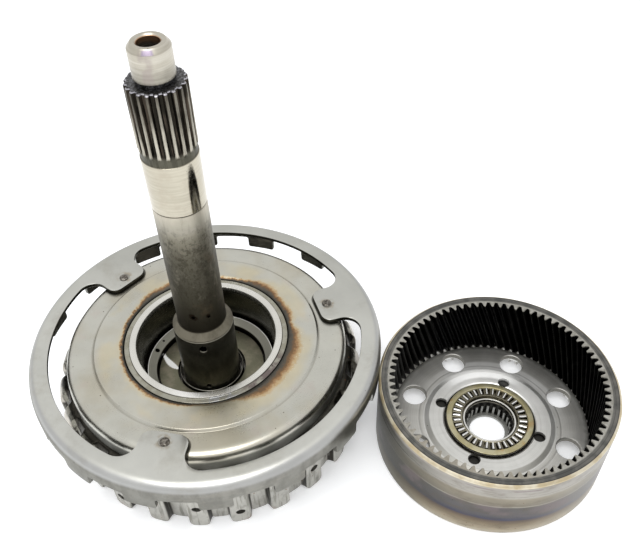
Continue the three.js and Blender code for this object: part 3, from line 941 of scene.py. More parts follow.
def open_ring(name, node, inner, outer, opening, centre):
    """A spring ring as high as a CAD node, with a gap in degrees and square-cut ends."""
    low, high = levels(node)
    angles = np.radians(np.linspace(opening / 2, 360 - opening / 2, 160))
    corners = ((inner, low), (outer, low), (outer, high), (inner, high))
    section = np.array(rounded([(*corner, 0.15) for corner in corners], 2))
    points = ring_of(section[:, 0], angles[:, None], section[:, 1])
    rows, columns = points.shape[:2]
    faces = grid_faces(rows, columns, closed_rows=False)
    faces += [tuple(range(columns))[::-1], tuple((rows - 1) * columns + i for i in range(columns))]
    ring = make_piece(name, points, faces, centre)
    clean(ring)
    return ring


# ---------------------------------------------------------------- loose ring gear

RING_OUTER = 66.1
RING_FOOT = 4.0


def build_ring_gear(material):
    """The toothed inside wall and the turned outside, as one closed grid."""
    top = top_of("ring_gear")
    pitch_radius = GEAR_MODULE * RING_TEETH / 2
    tip, root = pitch_radius - RING_TIP_HEIGHT * GEAR_MODULE, pitch_radius + ROOT_DEPTH * GEAR_MODULE
    wall = gear_wall(RING_TEETH, tip, root, 0, 0.0, top, 1, -BACKLASH, rows=19, chamfer=0.4)
    outline = rounded([
        (root + 0.5, top), (65.0, top, 0.25), (RING_OUTER, top - 1.1, 0.35), (RING_OUTER, top - 9.3),
        (RING_OUTER - 0.12, top - 9.45), (RING_OUTER - 0.12, top - 10), (RING_OUTER, top - 10.15),
        (RING_OUTER, RING_FOOT + 9), (RING_OUTER, 0, RING_FOOT), (root + 0.4, 0)], 6)
    first = np.arctan2(wall[-1, :, 1], wall[-1, :, 0])
    last = np.arctan2(wall[0, :, 1], wall[0, :, 0])
    last = first + (last - first + math.pi) % TURN - math.pi
    rings = []
    for i, (r, z) in enumerate(outline):
        a = first + (last - first) * i / (len(outline) - 1)
        rings.append(ring_of(r, a, z))
    points = np.concatenate([wall, rings])
    gear = make_piece("annulus_gear", points, grid_faces(*points.shape[:2]), RING)
    clean(gear)
    install(gear, "loose_ring", ["ring_gear"], material, 34)


HUB_WEB = 11.4
HUB_HOLES = 8
HUB_HOLE_PHASE = 19.0
HUB_HOLE_ORBIT = 46.6
HUB_HOLE_RADIUS = 7.0
HUB_NOTCHES = 4
HUB_NOTCH_PHASE = 64.0
HUB_NOTCH_ORBIT = 29.6
HUB_NOTCH_RADIUS = 3.4
HUB_SPLINE_TEETH = 22
HUB_SPLINE_CREST = 12.2
HUB_SPLINE_ROOT = 13.9
HUB_RIM = 56.8
HUB_LIP = 10.5            # radius of the lip under the spline
HUB_POCKET = 26.5
SEAT_GAP = 0.3            # between the bearing's race and the floor of its pocket


def build_hub(material):
    """The ring gear's hub: web with holes, boss, bearing pocket, notches and splined bore."""
    low, boss = levels("ring_hub")
    pocket_floor = bottom_of("bearing_race") - SEAT_GAP
    web_low = 8.2
    hub = turned("hub_web", [
        (HUB_LIP, low), (19, low, 0.6), (19, web_low - 3, 3), (29, web_low, 3), (HUB_RIM, web_low, 0.5),
        (HUB_RIM, HUB_WEB, 0.6), (41.4, HUB_WEB, 0.4), (40.9, HUB_WEB + 0.1, 0.4),
        (39.6, HUB_WEB + 0.1, 0.6), (37.9, HUB_WEB + 0.2, 1.2), (35.2, boss, 1.0), (29.5, boss),
        (27.4, boss, 0.2), (HUB_POCKET, boss - 0.5, 0.2), (HUB_POCKET, pocket_floor),
        (HUB_LIP, pocket_floor),
    ], RING, 256)
    cutters = []
    for place in evenly(HUB_HOLE_ORBIT, HUB_HOLE_PHASE, HUB_HOLES):
        cutters.append(bar("web_hole", HUB_HOLE_RADIUS, web_low - 1, HUB_WEB + 1, place, RING, 56,
                           chamfer=0.4, flare=1.0))
    for place in evenly(HUB_NOTCH_ORBIT, HUB_NOTCH_PHASE, HUB_NOTCHES):
        cutters.append(bar("notch", HUB_NOTCH_RADIUS, pocket_floor - 1.2, boss + 1, place, RING, 36,
                           chamfer=0.4, flare=0.8))
    cutters.append(spline_cutter(low + 1.5, pocket_floor + 1))
    cut(hub, cutters)
    cut(hub, [bar("spline_mouth", HUB_SPLINE_ROOT + 0.05, pocket_floor - 1.9, pocket_floor + 1,
                  upright(0, 0), RING, 96)])
    install(hub, "loose_ring", ["ring_hub"], material)


def spline_cutter(low, high):
    """A bar whose outline is the space of the hub's splined bore."""
    angles, offset = round_spline(HUB_SPLINE_TEETH, 12, 0)
    depth = HUB_SPLINE_ROOT - HUB_SPLINE_CREST
    radius = HUB_SPLINE_CREST + depth * smoothstep(0.17, 0.33, offset)
    outline = ((0, low), (radius, low), (radius, high), (0, high))
    rings = [ring_of(r, np.radians(angles), z) for r, z in outline]
    faces = grid_faces(len(outline), len(angles), closed_rows=False)
    cutter = make_piece("hub_spline", np.array(rings), faces, RING)
    clean(cutter)
    return cutter


ROLLERS = 34
ROLLER_RADIUS = 0.85
ROLLER_INNER = 17.2
ROLLER_OUTER = 21.3
BEARING_OUTER = 25.3


def build_thrust_bearing(cage_material, roller_material, race_material):
    """The needle thrust bearing: cage with its spokes, rollers, and the race under them."""
    low, top = levels("thrust_bearing")
    middle = top - ROLLER_RADIUS - 0.05
    rim = turned("bearing_cage", [
        (21.6, low + 0.5, 0.2), (BEARING_OUTER, low + 0.3, 0.3), (BEARING_OUTER, top - 0.35, 0.3),
        (22.2, top - 0.1, 0.4), (21.6, top - 0.8, 0.2)], RING, 256)
    hub = turned("cage_hub", [
        (16.35, low + 0.2, 0.15), (17.0, low + 0.2), (17.0, top - 0.6, 0.15), (16.35, top - 0.4, 0.15)],
        RING, 160)
    spokes = []
    for k in range(ROLLERS):
        angle = (k + 0.5) * 360 / ROLLERS
        place = radial(angle, middle - 0.35) @ Matrix.Diagonal((0.55, 0.62, 1, 1))
        spokes.append(bar("spoke", 1, 16.7, 21.9, place, RING, 8))
    cage = join([rim, hub, *spokes])
    install(cage, "bearing", ["thrust_bearing"], cage_material)
    rollers = []
    for k in range(ROLLERS):
        place = radial(k * 360 / ROLLERS + 1.5, middle)
        rollers.append(bar("roller", ROLLER_RADIUS, ROLLER_INNER, ROLLER_OUTER, place, RING, 20))
    needles = join(rollers)
    needles.name = "bearing_rollers"
    install(needles, "bearing", [], roller_material)
    race_low, race_top = levels("bearing_race")
    race = turned("bearing_race_ring", [
        (13.9, race_low), (BEARING_OUTER, race_low), (BEARING_OUTER, race_top), (15.6, race_top),
        (15.3, top - 2.0, 0.1), (14.5, top - 2.0, 0.15), (14.1, top - 2.5)], RING, 192)
    install(race, "loose_ring", ["bearing_race"], race_material)


def build_hub_clip(material):
    """The spring ring that holds the hub in the ring gear."""
    clip = open_ring("hub_clip", "hub_snap_ring", 54.4, 56.6, 9, RING)
    install(clip, "loose_ring", ["hub_snap_ring"], material)


# ---------------------------------------------------------------- materials

SOOT = (0.045, 0.040, 0.032)
TINT_SECTORS = (          # from angle, to angle, softness in degrees, reach in millimetres
    (-158, -96, 14, 1.3), (-62, 4, 14, 7.4), (10, 40, 8, 3.0), (38, 60, 12, 5.2), (112, 142, 12, 3.8),
)
HOLE_STAINS = ((-101, 88.2, 1.9), (-95, 86.9, 1.5), (-64, 87.4, 1.4))    # angle, height, size
FLAKE_PARTS = 10
FLAKE_START = (31.4, 161.5)    # radius and angle
FLAKE_REACH = (-10.8, 20.5)
FLAKE_HEIGHT = 30.0


def surface(n, colour, roughness, clouds=0.16, grain=0.10, wear=0.05):
    """What all the metals share: soft clouds, a fine grain, light scratches and small specks."""
    cloud = n.noise(0.045, 5, 0.6)
    fine = n.noise(1.1, 4, 0.6)
    lines = n.scratches()
    shade = n.ramp(cloud, [(0.30, 1 - clouds), (0.62, 1.0)])
    toned = n.mix(1.0, colour, shade, "MULTIPLY")
    specks = n.spots(0.16, 0.075, 0.22)
    n.set("Base Color", n.layers(toned, (specks, 0.75, SOOT)))
    varied = n.vary(n.vary(roughness, cloud, wear), fine, wear)
    n.set("Roughness", n.math("ADD", varied, n.both(lines, 0.06)))
    n.bump(n.math("ADD", fine, n.both(lines, -0.5)), grain)
    return n.material


def turned_lines(n, radius, height, fineness=2.2):
    """Fine rings that a lathe leaves, as noise of the radius and the height only."""
    return n.noise(fineness, 3, 0.7, where=n.vector(radius, 0.0, height))


def satin_sheet():
    """Outer ring: satin sheet with halos round the rivets, a stained skirt, and painted shade on its cut
    edges, bend, back half, skirt and the inside of the skirt, lightened on the skirt's right as painted
    light.
    """
    n = Nodes("satin_sheet")
    radius, angle, _ = n.round_axis(DRUM)
    upright_face = n.span(n.steepness(), 0.35, 0.8)
    # Painted shade: the cut edges are painted near black.
    cut_edge_shade = n.both(upright_face, n.span(radius, 93.5, 91.5))
    # Painted shade: the bend is painted a darker blue-grey.
    bend = n.both(n.band(n.steepness(), 0.10, 0.75, 0.08), n.span(radius, 93.5, 95.5))
    sheet = n.layers(
        (0.56, 0.56, 0.52),
        (cut_edge_shade, 1.0, (0.035, 0.033, 0.026)),
        (bend, 0.5, (0.365, 0.37, 0.39)))
    # Painted shade: the back half is painted darker.
    back_shade = n.band(angle, 10, 148, 26)
    sheet = n.mix(n.both(back_shade, 0.5), sheet, (0.72, 0.72, 0.71), "MULTIPLY")
    # Painted shade on the skirt, mottled by stains, and lighter on the right as painted light.
    skirt = n.both(upright_face, n.span(radius, 98.0, 99.6))
    stain = n.noise(0.12, 5, 0.65, stretch=(1, 1, 0.5))
    wall = n.tones(stain, 0.38, 0.64, (0.165, 0.16, 0.143), (0.235, 0.23, 0.208))
    dull = n.math("SUBTRACT", 0.92, n.both(n.band(angle, -38, -4, 8), 0.75))
    # Painted shade inside the skirt.
    skirt_inside_shade = n.both(upright_face, n.span(radius, 98.7, 98.1))
    sideways, outward = n.from_tab()
    distance = n.length(sideways, n.math("SUBTRACT", outward, RIVET_RADIUS))
    patchy = n.span(n.noise(0.35, 4), 0.42, 0.62)
    halo = n.both(n.band(distance, 2.4, 4.6, 1.3), patchy)
    rivet_rim = n.band(distance, 2.3, 3.1, 0.25)
    smudge = n.span(n.noise(0.035, 6, 0.7, stretch=(1, 1, 3)), 0.48, 0.70)
    colour = n.layers(
        sheet,
        (skirt, dull, wall),
        (skirt_inside_shade, 0.93, (0.040, 0.038, 0.030)),
        (halo, 0.6, (0.30, 0.235, 0.15)),
        (rivet_rim, 0.55, (0.16, 0.15, 0.13)),
        (smudge, 0.42, (0.36, 0.34, 0.29)))
    n.shader.inputs["Specular Tint"].default_value = (0.7, 0.7, 0.68, 1)
    return surface(n, colour, 0.34, clouds=0.10, grain=0.08)


def drum_wall():
    """Corrugated drum: pale smudged faces, painted shade on the flanks, under the crown and inside the wall,
    a greasy seam under the cover darkened further as painted shade, and a painted highlight on the crown's
    bulge.
    """
    n = Nodes("drum_wall")
    radius, angle, height = n.round_axis(DRUM)
    upright_face = n.span(n.steepness(), 0.5, 0.9)
    streaks = n.noise(0.42, 4, 0.6, stretch=(1, 1, 0.10))
    blotches = n.noise(0.16, 5, 0.62)
    ragged = n.vary(radius, n.noise(0.25, 5, 0.65), 1.6)
    smear = n.either(n.span(streaks, 0.48, 0.66), n.both(n.span(blotches, 0.50, 0.72), 0.7))
    # Painted shade: the flank faces are painted near black, streaked like grime.
    flank = n.both(n.band(radius, 83.7, 87.4, 0.4), upright_face)
    warm_foot = n.both(n.span(n.noise(0.09, 4), 0.54, 0.68), n.span(height, 9, 2))
    # A band of grease under the cover, darkened further as painted shade under the outer ring, and faded at
    # the front.
    seam_grime_and_shade = n.both(n.span(height, 31.5, 33.5), n.span(ragged, 86.2, 84.8))
    seam_grime_and_shade = n.both(seam_grime_and_shade, n.without(n.both(n.band(angle, -118, -40, 12), 0.6)))
    seam_tone = n.tones(blotches, 0.44, 0.56, (0.27, 0.26, 0.215), (0.045, 0.042, 0.033))
    # Painted highlight: the crown's bulge is painted pale.
    limb_light = n.both(n.span(height, 30.5, 33), n.span(ragged, 85.2, 86.4))
    chips = n.both(n.spots(0.45, 0.26, 0.16), seam_grime_and_shade)
    # Painted shade under the crown's bulge.
    under = n.both(n.span(height, 30, 31.5), n.span(radius, 83.4, 83.0))
    # Painted shade on the inside of the wall.
    inner = n.both(n.span(radius, 81.9, 80.9), n.span(height, 33, 31))
    rust = n.spots(0.35, 0.20, 0.20)
    colour = n.layers(
        (0.48, 0.47, 0.43),
        (smear, 0.74, (0.18, 0.175, 0.145)),
        (flank, n.span(streaks, 0.20, 0.52), (0.030, 0.027, 0.021)),
        (warm_foot, 0.6, (0.30, 0.235, 0.20)),
        (seam_grime_and_shade, 0.9, seam_tone),
        (limb_light, 0.85, (0.62, 0.585, 0.52)),
        (chips, 0.8, (0.42, 0.40, 0.36)),
        (under, 0.9, (0.035, 0.032, 0.026)),
        (inner, 0.85, (0.06, 0.055, 0.048)),
        (rust, 0.9, (0.17, 0.085, 0.04)))
    return surface(n, colour, 0.42, clouds=0.22, grain=0.18)


def plain_cover(n, radius):
    """The cover's sheet away from the weld: grey and warm clouds, with straw near the neck."""
    warm_share = n.noise(0.025, 4)
    plain = n.tones(warm_share, 0.40, 0.62, (0.535, 0.53, 0.475), (0.49, 0.465, 0.385))
    rosy = n.span(n.noise(0.07, 4, 0.6), 0.54, 0.70)
    straw = n.both(n.span(n.noise(0.035, 3), 0.45, 0.62), n.band(radius, 48, 61, 3))
    return n.layers(
        plain,
        (rosy, 0.3, (0.53, 0.46, 0.42)),
        (straw, 0.6, (0.59, 0.53, 0.37)))


def cover_sheet():
    """Turned cover with oxide colours that spread from the weld round the neck, and painted shade on its
    outer wall, in the crease of its step and round the tabs.
    """
    n = Nodes("cover_sheet")
    radius, angle, height = n.round_axis(DRUM)
    ragged = n.vary(n.vary(radius, n.noise(0.10, 3, 0.5), 1.9), n.noise(0.5, 6, 0.75), 2.6)
    spread = 0.0
    for start, end, soft, reach in TINT_SECTORS:
        spread = n.either(spread, n.both(n.band(angle, start, end, soft), reach))
    travelled = n.math("DIVIDE", n.math("SUBTRACT", ragged, COVER_BORE), n.math("ADD", spread, 2.2))
    tint = n.ramp(travelled, [
        (0.0, (0.072, 0.070, 0.062)), (0.26, (0.112, 0.100, 0.080)), (0.44, (0.185, 0.115, 0.066)),
        (0.62, (0.36, 0.215, 0.105)), (0.80, (0.53, 0.390, 0.215)), (1.0, (0.58, 0.52, 0.375))],
        smooth=True)
    tinted = n.span(n.vary(travelled, n.noise(0.3, 4), 0.35), 1.75, 0.50)
    smoke = n.both(n.band(angle, -92, -58, 10), n.span(ragged, 56, 47))
    sparkle = n.both(n.spots(0.8, 0.32, 0.3), n.both(n.band(angle, -40, 8, 6), n.band(radius, 53, 57, 1)))
    weld = n.band(radius, 46.6, 47.6, 0.35)
    # Painted shade in the crease at the foot of the step.
    step_crease_shade = n.band(radius, 64.2, 65.0, 0.3)
    # Painted shade: the cover's outer wall is painted dark.
    wall = n.both(n.span(n.steepness(), 0.75, 1.0), n.span(radius, 76, 79))
    streak = n.noise(0.10, 5, 0.6, stretch=(1, 1, 2))
    wall_shade_tone = n.tones(streak, 0.35, 0.65, (0.072, 0.072, 0.062), (0.115, 0.115, 0.10))
    pits = n.both(n.spots(0.22, 0.10, 0.30), n.span(radius, 56, 62))
    colour = n.layers(
        plain_cover(n, radius),
        (tinted, 1.0, tint),
        (smoke, 0.75, (0.16, 0.15, 0.115)),
        (sparkle, 0.8, (0.72, 0.66, 0.50)),
        (weld, 0.85, (0.045, 0.044, 0.038)),
        (step_crease_shade, 0.35, (0.20, 0.18, 0.14)),
        (wall, 0.9, wall_shade_tone),
        (n.tab_shade(), 0.84, (0.025, 0.024, 0.018)),
        (pits, 1.0, (0.07, 0.05, 0.035)))
    lines = turned_lines(n, radius, height)
    rough = n.math("ADD", 0.30, n.either(n.both(tinted, 0.12), n.both(wall, 0.30)))
    rough = n.vary(rough, lines, 0.06)
    return surface(n, colour, rough, clouds=0.12, grain=0.10)


def neck_metal():
    """Neck: bright land with a painted highlight at the front, khaki weld shoulder with one purple stain, and
    a dark bore, partly its own tone and partly painted shade and reflection.
    """
    n = Nodes("neck_metal")
    radius, angle, height = n.round_axis(DRUM)
    top = top_of("neck_sleeve")
    lines = turned_lines(n, radius, height, 3.0)
    land = n.tones(lines, 0.35, 0.65, (0.63, 0.62, 0.575), (0.74, 0.725, 0.675))
    # Painted highlight: the land is painted near white at the front.
    land = n.layers(land, (n.band(angle, -112, -66, 14), 0.8, (0.97, 0.96, 0.93)))
    stained = n.noise(0.2, 4)
    purple = n.both(n.band(angle, -58, -18, 8), n.span(stained, 0.30, 0.55))
    scuff = n.both(n.band(angle, -86, -62, 4), n.span(stained, 0.40, 0.60))
    shoulder = n.layers(
        n.tones(stained, 0.4, 0.6, (0.38, 0.37, 0.31), (0.31, 0.295, 0.235)),
        (purple, 0.8, (0.14, 0.105, 0.11)),
        (scuff, 0.6, (0.58, 0.60, 0.66)))
    # The bore is painted dark: partly its own tone, partly painted shade and reflection.
    dark = n.tones(n.noise(0.1, 4), 0.35, 0.65, (0.085, 0.085, 0.066), (0.145, 0.14, 0.112))
    bore = n.layers(
        dark,
        (n.band(height, top - 3.4, top - 0.6, 0.4), 0.9, (0.20, 0.195, 0.155)),
        (n.speck(DRUM, NECK_BORE, 152, 37, 0.45), 1.0, (0.80, 0.79, 0.75)),
        (n.speck(DRUM, NECK_BORE, 40, 44, 0.8), 1.0, (0.012, 0.012, 0.010)))
    colour = n.layers(
        land,
        (n.span(radius, 43.35, 43.65), 1.0, shoulder),
        (n.span(radius, 46.1, 46.6), 0.85, (0.06, 0.055, 0.045)),
        (n.band(radius, 43.4, 43.75, 0.12), 0.7, (0.10, 0.095, 0.08)),
        (n.span(radius, 39.7, 39.1), 1.0, bore))
    rough = n.vary(0.26, lines, 0.05)
    return surface(n, colour, rough, clouds=0.10, grain=0.06)


def flake_mask(n):
    """A pale sliver on the carrier's floor, as a row of overlapping round marks."""
    flake = 0.0
    for k in range(FLAKE_PARTS):
        share = k / (FLAKE_PARTS - 1)
        size = 0.9 + 0.8 * math.sin(math.pi * share ** 1.4)
        radius, degrees = (start + reach * share for start, reach in zip(FLAKE_START, FLAKE_REACH))
        flake = n.either(flake, n.speck(DRUM, radius, degrees, FLAKE_HEIGHT, size))
    return flake


def carrier_plate():
    """Carrier: grey cone with a painted highlight on its rim, an olive, rust-flecked floor, and painted shade
    in the undercut, beyond the ledge, below the floor and on the floor's front.
    """
    n = Nodes("carrier_plate")
    radius, angle, height = n.round_axis(DRUM)
    lines = turned_lines(n, radius, height, 2.6)
    # Painted highlight along the ledge's rim.
    rim = n.both(n.band(radius, 36.7, 37.3, 0.15), n.span(height, 34.3, 34.8))
    cone = n.layers(
        n.tones(lines, 0.35, 0.65, (0.17, 0.165, 0.135), (0.23, 0.225, 0.19)),
        (rim, 1.0, (0.86, 0.85, 0.80)),
        # Painted shade beyond the ledge.
        (n.span(radius, 37.4, 37.9), 1.0, (0.035, 0.033, 0.026)))
    fleck = n.both(n.spots(0.4, 0.24, 0.18), n.span(height, 29.0, 29.6))
    floor = n.layers(
        n.tones(n.noise(0.14, 5, 0.65), 0.38, 0.66, (0.185, 0.180, 0.125), (0.275, 0.250, 0.185)),
        # Painted shade on the front of the floor.
        (n.band(angle, -125, -55, 20), 0.4, (0.11, 0.10, 0.07)),
        (fleck, 1.0, (0.16, 0.075, 0.03)))
    on_floor = n.span(height, 31.2, 30.6)
    # Painted shade: the undercut under the ledge is painted black.
    undercut_shade = n.both(n.band(radius, 31.0, 32.6, 0.25), n.span(height, 33.0, 32.6))
    flake = flake_mask(n)
    colour = n.layers(
        cone,
        (on_floor, 1.0, floor),
        (undercut_shade, 0.97, (0.008, 0.007, 0.005)),
        # Painted shade below the floor.
        (n.span(height, 29.3, 28.6), 0.8, (0.07, 0.065, 0.055)),
        (flake, 1.0, (0.90, 0.90, 0.87)))
    n.set("Metallic", n.without(flake))
    rough = n.vary(n.math("ADD", 0.32, n.both(on_floor, 0.12)), lines, 0.05)
    return surface(n, colour, rough, clouds=0.12, grain=0.10)


def shaft_body(n, height, mottle, streak):
    """Matt body: nearly black at the collar, brown-grey above and pale under the journal."""
    level = n.vary(height, mottle, 6.0)
    body = n.ramp(n.math("DIVIDE", n.math("SUBTRACT", level, 76), 80), [
        (0.0, (0.038, 0.034, 0.025)), (0.22, (0.062, 0.058, 0.043)), (0.45, (0.096, 0.090, 0.070)),
        (0.66, (0.125, 0.117, 0.090)), (0.82, (0.215, 0.20, 0.158)), (0.90, (0.38, 0.36, 0.30)),
        (1.0, (0.52, 0.485, 0.405))])
    flecks = n.noise(0.9, 4, 0.65, stretch=(1, 1, 0.5))
    dark_flecks = n.both(n.span(flecks, 0.50, 0.66), n.span(height, 148, 138))
    pale = n.both(n.span(mottle, 0.52, 0.62), n.band(height, 96, 142, 8))
    oily = n.both(n.span(n.noise(0.22, 6, 0.75), 0.48, 0.60), n.band(height, 88, 146, 6))
    body = n.layers(
        body,
        (dark_flecks, 0.45, (0.030, 0.027, 0.020)),
        (pale, 0.62, (0.22, 0.203, 0.162)),
        (oily, 0.6, (0.050, 0.045, 0.033)),
        (n.span(streak, 0.52, 0.70), 0.25, (0.045, 0.040, 0.030)))
    for degrees, level, size in HOLE_STAINS:
        smudge = n.speck(DRUM, BODY_RADIUS, degrees, level, size)
        body = n.layers(body, (smudge, n.span(flecks, 0.30, 0.55), (0.020, 0.014, 0.009)))
    brown = n.both(n.span(n.noise(0.07, 3), 0.56, 0.68), n.band(height, 84, 128, 8))
    return n.layers(body, (brown, 0.45, (0.13, 0.095, 0.060)))


def shaft_spline(n, radius, height, streak, mottle):
    """Spline: crests that shine more towards the foot, and valleys full of dark oxide."""
    up = n.math("DIVIDE", n.math("SUBTRACT", height, SPLINE_LOW), SPLINE_HIGH - SPLINE_LOW)
    edge = n.math("ADD", 13.06, n.both(up, 0.42))
    out = n.math("SUBTRACT", n.vary(radius, streak, 0.22), edge)
    crest = n.span(out, 0.0, 0.26)
    shining = n.tones(streak, 0.35, 0.65, (0.29, 0.27, 0.22), (0.54, 0.51, 0.43))
    dull = n.tones(streak, 0.35, 0.65, (0.105, 0.095, 0.075), (0.24, 0.225, 0.185))
    ridge = n.tones(n.vary(up, mottle, 0.5), 0.20, 0.80, shining, dull)
    valley = n.tones(streak, 0.45, 0.65, (0.020, 0.018, 0.014), (0.085, 0.068, 0.052))
    return n.mix(crest, valley, ridge)


def shaft_foot(n, radius, height, mottle):
    """Foot: dark, partly its own tone and partly painted shade inside the neck, with painted light at both of
    its ends and a painted shadow where the collar shades it.
    """
    shade = n.both(n.span(radius, 15.9, 15.3), n.span(height, 70, 69))
    return n.layers(
        # Painted shade: the foot is painted dark inside the neck, on top of its own dark tone.
        n.tones(mottle, 0.4, 0.65, (0.080, 0.077, 0.059), (0.130, 0.124, 0.097)),
        # Painted light at both ends of the foot.
        (n.span(height, 60, 66), 0.6, (0.27, 0.26, 0.21)),
        (n.span(height, 37, 31), 0.75, (0.46, 0.44, 0.36)),
        (shade, 1.0, (0.008, 0.007, 0.006)))


def shaft_tip(n, angle, height, bands, patch):
    """Tip: polished steel with mauve and violet heat colours, brightest at the top."""
    polished = n.tones(bands, 0.35, 0.65, (0.30, 0.28, 0.235), (0.37, 0.35, 0.295))
    bright = n.tones(bands, 0.35, 0.65, (0.455, 0.425, 0.355), (0.55, 0.52, 0.45))
    mauve = n.both(n.band(angle, -112, -78, 6), n.span(n.noise(0.18, 4), 0.40, 0.58))
    violet = n.both(n.band(angle, -102, -70, 4), n.band(height, 236.0, 237.7, 0.3))
    return n.layers(
        n.tones(n.vary(height, patch, 3), 226, 232, polished, bright),
        (mauve, 0.45, (0.30, 0.25, 0.24)),
        (violet, 0.85, (0.23, 0.19, 0.27)))


def shaft_metal():
    """Input shaft: dark foot with painted shade and light, brown-grey body, ground journal, blackened spline,
    bright tip.
    """
    n = Nodes("shaft_metal")
    radius, angle, height = n.round_axis(DRUM)
    mottle = n.noise(0.11, 6, 0.68, stretch=(1, 1, 0.55))
    streak = n.noise(0.55, 4, 0.6, stretch=(1, 1, 0.10))
    bands = n.noise(1.1, 3, 0.6, stretch=(0.05, 0.05, 1))
    patch = n.noise(0.14, 4, 0.6)
    journal = n.tones(bands, 0.30, 0.72, (0.445, 0.412, 0.33), (0.525, 0.49, 0.40))
    journal = n.layers(journal, (n.span(patch, 0.48, 0.66), 0.6, (0.44, 0.395, 0.315)))
    lip = n.both(n.speck(DRUM, COLLAR_RADIUS, -87, 64.6, 2.6), n.span(height, 63.6, 63.0))
    on_collar = n.both(n.band(height, 71.1, 75.7, 0.15), n.span(radius, 13.45, 13.9))
    collar = n.tones(mottle, 0.35, 0.6, (0.120, 0.108, 0.082), (0.185, 0.17, 0.13))
    relief = n.band(height, 184.5, SPLINE_HIGH + 0.4, 0.1)
    relief_tone = n.tones(streak, 0.4, 0.6, (0.075, 0.072, 0.055), (0.115, 0.11, 0.085))
    in_spline = n.both(relief, n.span(n.vary(height, streak, 0.8), SPLINE_LOW + 0.6, SPLINE_LOW + 2.6))
    shoulder = n.span(height, SPLINE_HIGH - 0.35, SPLINE_HIGH - 0.1)
    shoulder_tone = n.tones(n.noise(0.8, 5, 0.7), 0.42, 0.66, (0.035, 0.034, 0.032), (0.20, 0.20, 0.21))
    chamfer = n.both(n.band(height, SPLINE_HIGH - 0.75, SPLINE_HIGH - 0.25, 0.15), n.span(radius, 11.7, 11.9))
    on_tip = n.span(height, SPLINE_HIGH + 1.6, SPLINE_HIGH + 2.0)
    bore = n.span(radius, TIP_BORE + 0.35, TIP_BORE + 0.1)
    bore_tone = n.tones(bands, 0.40, 0.60, (0.20, 0.195, 0.175), (0.46, 0.445, 0.40))
    rusty = n.both(bore, n.span(n.vary(height, mottle, 2.0), 233.5, 236.5))
    colour = n.layers(
        shaft_body(n, height, mottle, streak),
        (n.span(height, 156.6, 157.0), 1.0, journal),
        (n.band(height, 156.2, 156.8, 0.15), 1.0, (0.06, 0.055, 0.045)),
        (n.span(height, 70.9, 70.3), 1.0, shaft_foot(n, radius, height, mottle)),
        (lip, 0.5, (0.20, 0.19, 0.16)),
        (on_collar, 1.0, collar),
        (n.band(height, 70.4, 71.0, 0.2), 0.6, (0.25, 0.235, 0.19)),
        (relief, 1.0, relief_tone),
        (in_spline, 1.0, shaft_spline(n, radius, height, streak, mottle)),
        (shoulder, 1.0, shoulder_tone),
        (chamfer, 1.0, (0.44, 0.43, 0.46)),
        (on_tip, 1.0, shaft_tip(n, angle, height, bands, patch)),
        (bore, 1.0, bore_tone),
        (rusty, 0.8, (0.52, 0.30, 0.16)))
    ground = n.either(n.band(height, 157, 184.5, 0.2), on_tip)
    rough = n.mix(ground, n.tones(height, 71, 70, 0.46, 0.30), 0.09)
    rough = n.mix(n.either(chamfer, shoulder), rough, 0.34)
    rough = n.vary(rough, bands, 0.03)
    return surface(n, colour, rough, clouds=0.10, grain=0.07, wear=0.03)


def ring_outside(n, angle, height, top):
    """The turned outside: bands up its height, blued in the middle, darker to the left."""
    mottle = n.noise(0.09, 6, 0.62, stretch=(1, 1, 3.0))
    level = n.vary(height, n.noise(0.04, 4), 1.1)
    bands = n.ramp(n.math("DIVIDE", level, top), [
        (0.0, (0.55, 0.51, 0.42)), (0.10, (0.40, 0.345, 0.255)), (0.22, (0.23, 0.185, 0.125)),
        (0.285, (0.135, 0.105, 0.090)), (0.31, (0.075, 0.078, 0.115)), (0.37, (0.115, 0.112, 0.120)),
        (0.57, (0.135, 0.128, 0.122)), (0.585, (0.36, 0.34, 0.29)), (0.605, (0.225, 0.205, 0.165)),
        (0.74, (0.30, 0.27, 0.21)), (0.78, (0.42, 0.40, 0.36)), (0.93, (0.38, 0.36, 0.33)),
        (1.0, (0.43, 0.39, 0.31))])
    film = n.both(n.span(n.noise(0.05, 5, 0.6, stretch=(1, 1, 3)), 0.50, 0.64), n.band(height, 15, 28, 2))
    shaded = n.both(n.span(n.turned_from(angle, -190), 78, 32), n.span(height, 45.5, 43.5))
    lit = n.span(n.turned_from(angle, -35), 52, 20)
    pinkish = n.both(n.band(level, 19, 29, 2), n.span(n.noise(0.06, 3), 0.45, 0.62))
    patches = n.both(n.band(level, 43.9, 44.9, 0.5), n.span(n.noise(0.045, 3), 0.49, 0.58))
    rust = n.both(n.spots(0.35, 0.18, 0.25), n.either(n.band(height, 28, 36, 2), n.band(height, 2, 13, 2)))
    return n.layers(
        bands,
        (n.span(mottle, 0.44, 0.72), 0.42, (0.13, 0.108, 0.076)),
        (film, 0.25, (0.060, 0.058, 0.060)),
        (shaded, 0.78, (0.050, 0.050, 0.036)),
        (lit, 0.22, (0.55, 0.53, 0.48)),
        (pinkish, 0.35, (0.25, 0.19, 0.20)),
        (patches, 0.5, (0.15, 0.10, 0.12)),
        (rust, 0.8, (0.17, 0.10, 0.055)))


